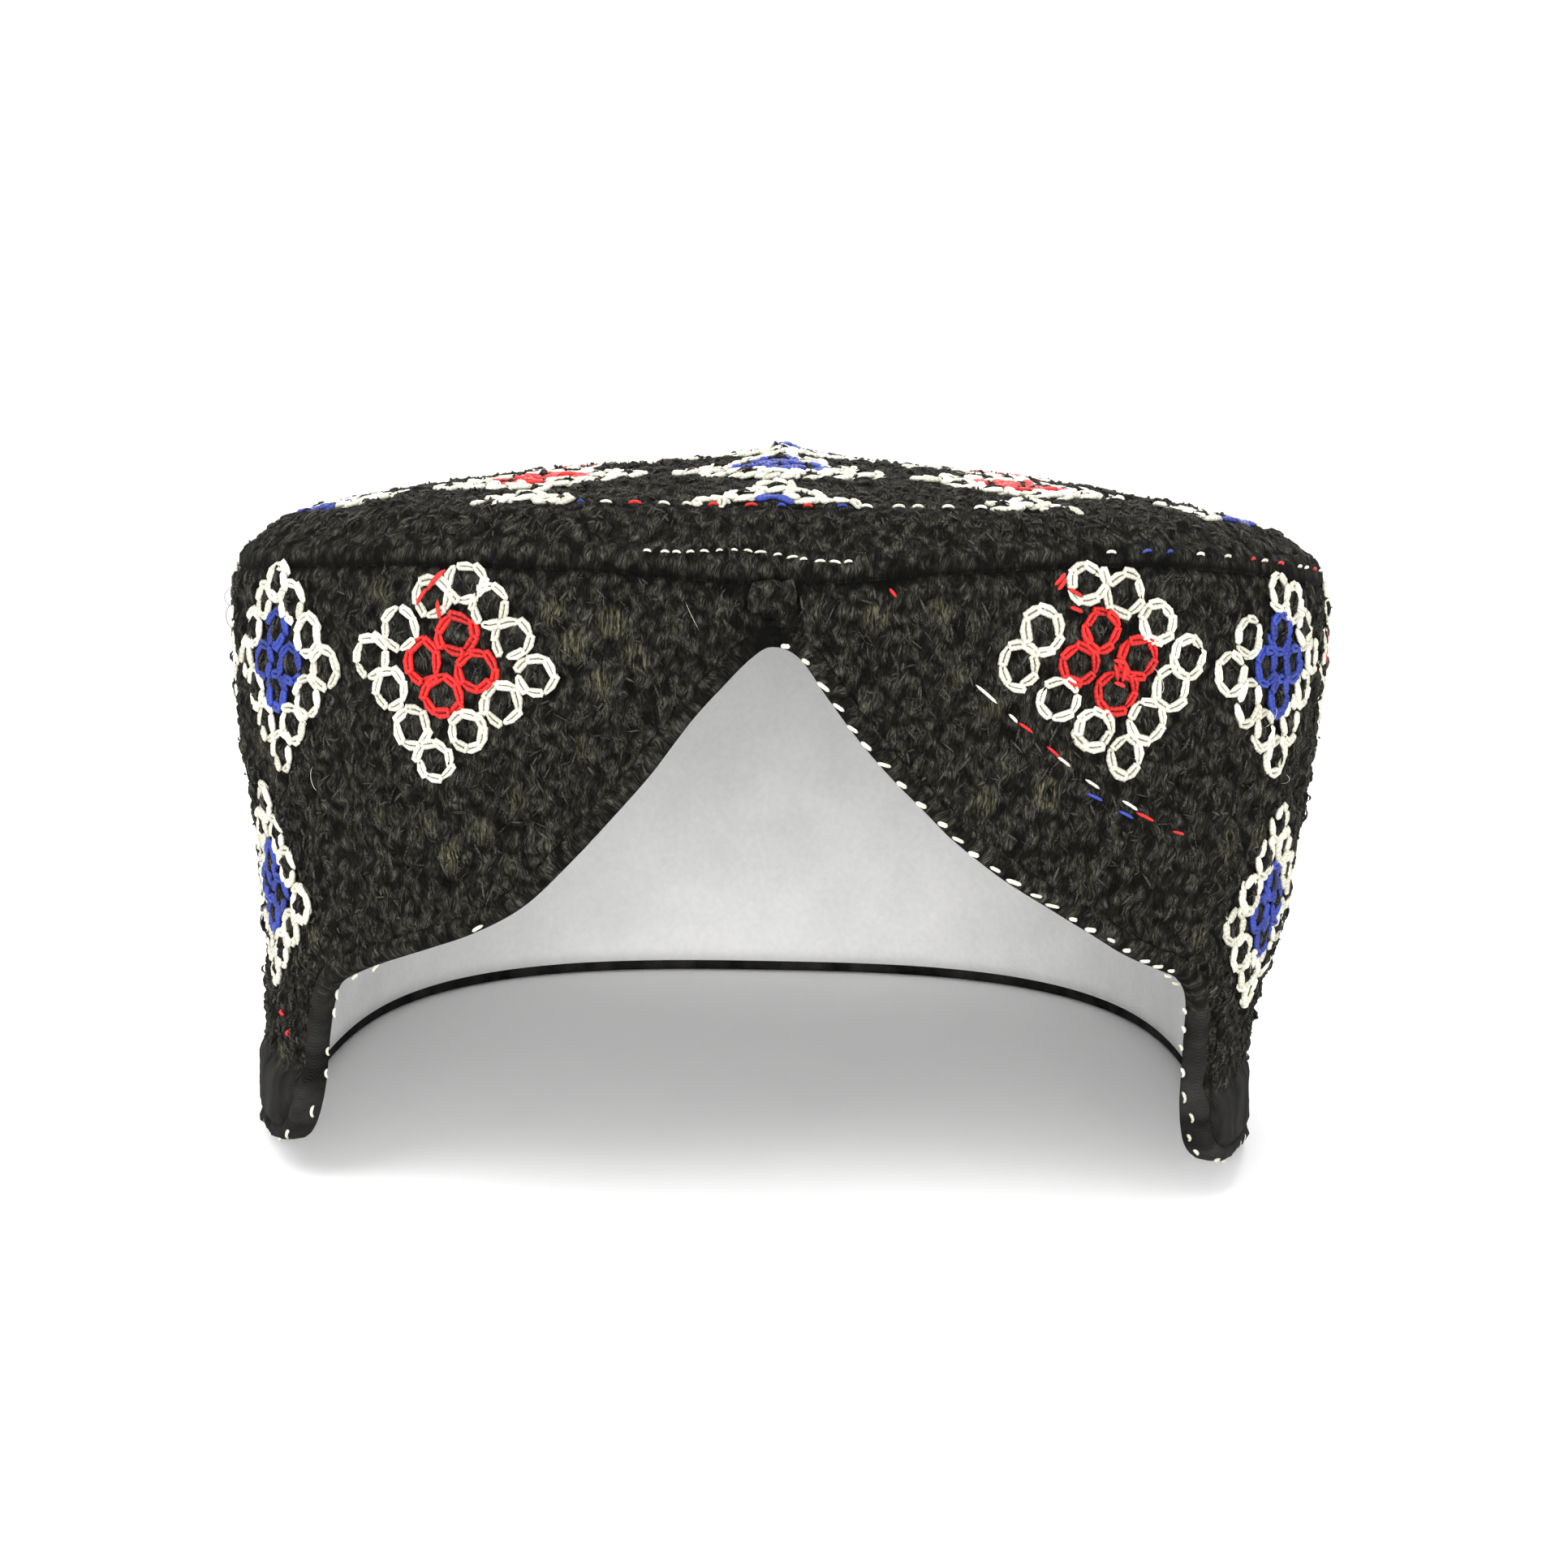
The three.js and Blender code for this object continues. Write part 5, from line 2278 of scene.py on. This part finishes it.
@dataclass(frozen=True)
class StudioFloor(Finish):
    """A plain pale floor."""

    pale: tuple = (0.93, 0.93, 0.93, 1.0)
    shade: tuple = (0.91, 0.91, 0.91, 1.0)

    def make(self) -> bpy.types.Material:
        """An almost even white with a faint grain.

        Returns:
            The new material.
        """
        kit = NodeKit("pale_floor")
        grain = kit.noise(kit.solid(1 / (40 * MM)), detail=2.0)
        return kit.surface({"Base Color": kit.mixed(grain, self.pale, self.shade), "Roughness": 0.9})


@dataclass(frozen=True)
class StudioLight:
    """A large soft light: its place, its width and its power in watts."""

    name: str
    place: tuple[float, float, float]
    size: float
    power: float


@dataclass
class Studio:
    """The pale floor, the soft lights and the camera."""

    plan: CapPlan
    floor_size: float = 6000.0
    world_strength: float = 1.12
    image_width: float = 1932.0
    focal_pixels: float = 2909.0
    sensor: float = 36.0
    place: tuple[float, float, float] = (4.6, -394.4, 95.2)
    forward: tuple[float, float, float] = (-0.0207, 0.9917, -0.1269)
    roll: float = 0.898
    content_right: float = -34.4
    content_down: float = 38.4
    clip_start: float = 10.0
    lights: tuple[StudioLight, ...] = (
        StudioLight("key", (-420, -520, 760), size=700, power=6.2),
        StudioLight("fill", (520, -640, 420), size=800, power=2.0),
        StudioLight("front", (0, -900, 40), size=500, power=10.0),
        StudioLight("back", (100, 700, 800), size=700, power=11.0),
    )

    def build(self) -> None:
        """Sets up the whole studio."""
        bpy.context.scene.view_settings.view_transform = "Standard"
        self.add_camera()
        self.add_floor()
        self.add_world()
        for light in self.lights:
            self.add_light(light)

    def add_camera(self) -> None:
        """The camera at the photograph's place and angle."""
        data = bpy.data.cameras.new("camera")
        data.sensor_width = self.sensor
        data.lens = self.focal_pixels / self.image_width * self.sensor
        data.shift_x = -self.content_right / self.image_width
        data.shift_y = self.content_down / self.image_width
        data.clip_start = self.clip_start * MM
        camera = placed("camera", data)
        turn = Vector(self.forward).to_track_quat("-Z", "Y").to_matrix()
        turn = turn @ Matrix.Rotation(math.radians(self.roll), 3, "Z")
        place = Vector(self.place) + Vector((0, self.plan.forward_shift, 0))
        camera.matrix_world = Matrix.Translation(place * MM) @ turn.to_4x4()
        bpy.context.scene.camera = camera

    def add_floor(self) -> None:
        """A wide pale floor under the cap."""
        shape = bmesh.new()
        bmesh.ops.create_grid(shape, x_segments=2, y_segments=2, size=self.floor_size / 2)
        floor = placed("floor", cloth_mesh("floor", shape))
        floor.data.materials.append(StudioFloor().make())

    def add_world(self) -> None:
        """An even pale surround."""
        world = bpy.data.worlds.new("studio")
        bpy.context.scene.world = world
        world.use_nodes = True
        background = world.node_tree.nodes["Background"]
        background.inputs["Color"].default_value = (1.0, 1.0, 1.0, 1.0)
        background.inputs["Strength"].default_value = self.world_strength

    def add_light(self, plan: StudioLight) -> None:
        """Places a light so that it faces the cap.

        Args:
            plan: The light's sizes.
        """
        data = bpy.data.lights.new(plan.name, "AREA")
        data.size = plan.size * MM
        data.energy = plan.power
        light = placed(plan.name, data)
        at = Vector(plan.place)
        aim = Vector((0, 0, self.plan.wall_height / 2)) - at
        light.matrix_world = Matrix.Translation(at * MM) @ aim.to_track_quat("-Z", "Y").to_matrix().to_4x4()


def main() -> None:
    """Builds the cap piece by piece and reports each."""
    logging.basicConfig(level=logging.INFO, format="%(name)s: %(message)s")
    rng = random.Random(SEED)
    low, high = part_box("crown_disc")
    plan = CapPlan(forward_shift=(low.y + high.y) / 2 / MM)
    shop = Workshop()
    motifs = MotifPlan(plan)
    wall_face, strip_face, crown_face = WallFace(plan), StripFace(plan), CrownFace(plan)
    wall_ground = StitchedGround(
        wall_face, motifs.wall(rng), rng, across=(-plan.half_round, plan.half_round),
        up=(0, plan.wall_height), joined_at=plan.half_round,
    )
    crown_ground = StitchedGround(
        crown_face, motifs.crown(rng), rng, across=motifs.crown_across, up=motifs.crown_up,
    )
    strip_ground = StitchedGround(
        strip_face, motifs.strip(), rng, across=(-plan.half_round, plan.half_round),
        up=(0, strip_face.slant), joined_at=plan.half_round,
    )
    Studio(plan).build()
    wall = SideWall(plan, shop, wall_ground, wall_face)
    wall.build()
    strip = ShoulderStrip(plan, shop, strip_ground, strip_face)
    strip.build()
    Crown(plan, shop, crown_ground, crown_face).build()
    binding = EdgeBinding(plan, shop, wall_face)
    binding.build()
    Linings(plan, shop, wall_face).build()
    FrontTab(plan, shop, wall_face).build()

    def wall_lift(u: float, v: float) -> float:
        """Height of the wall's cloth over its smooth face."""
        return wall.lift(u, v, wall_face.spot(u, v), plan.foot_height(plan.wrapped(u)))[0]

    def strip_lift(u: float, v: float) -> float:
        """Height of the strip's cloth over its smooth face."""
        return strip.lift(u, v, strip_face.place(u, v))[0]

    def crown_lift(x: float, y: float) -> float:
        """Height of the crown's cloth over its smooth face."""
        return crown_ground.relief(x, y, crown_face.place(x, y))[0]

    RingStitches(wall_face, wall_ground, wall_lift, rng, "wall").build(shop)
    RingStitches(crown_face, crown_ground, crown_lift, rng, "crown").build(shop)
    RingStitches(strip_face, strip_ground, strip_lift, rng, "strip").build(shop)
    LooseStitches(plan, wall_face, strip_face, binding, rng).build(shop)
    log.info("all pieces: %d triangles", shop.triangles)


if __name__ == "__main__":
    main()
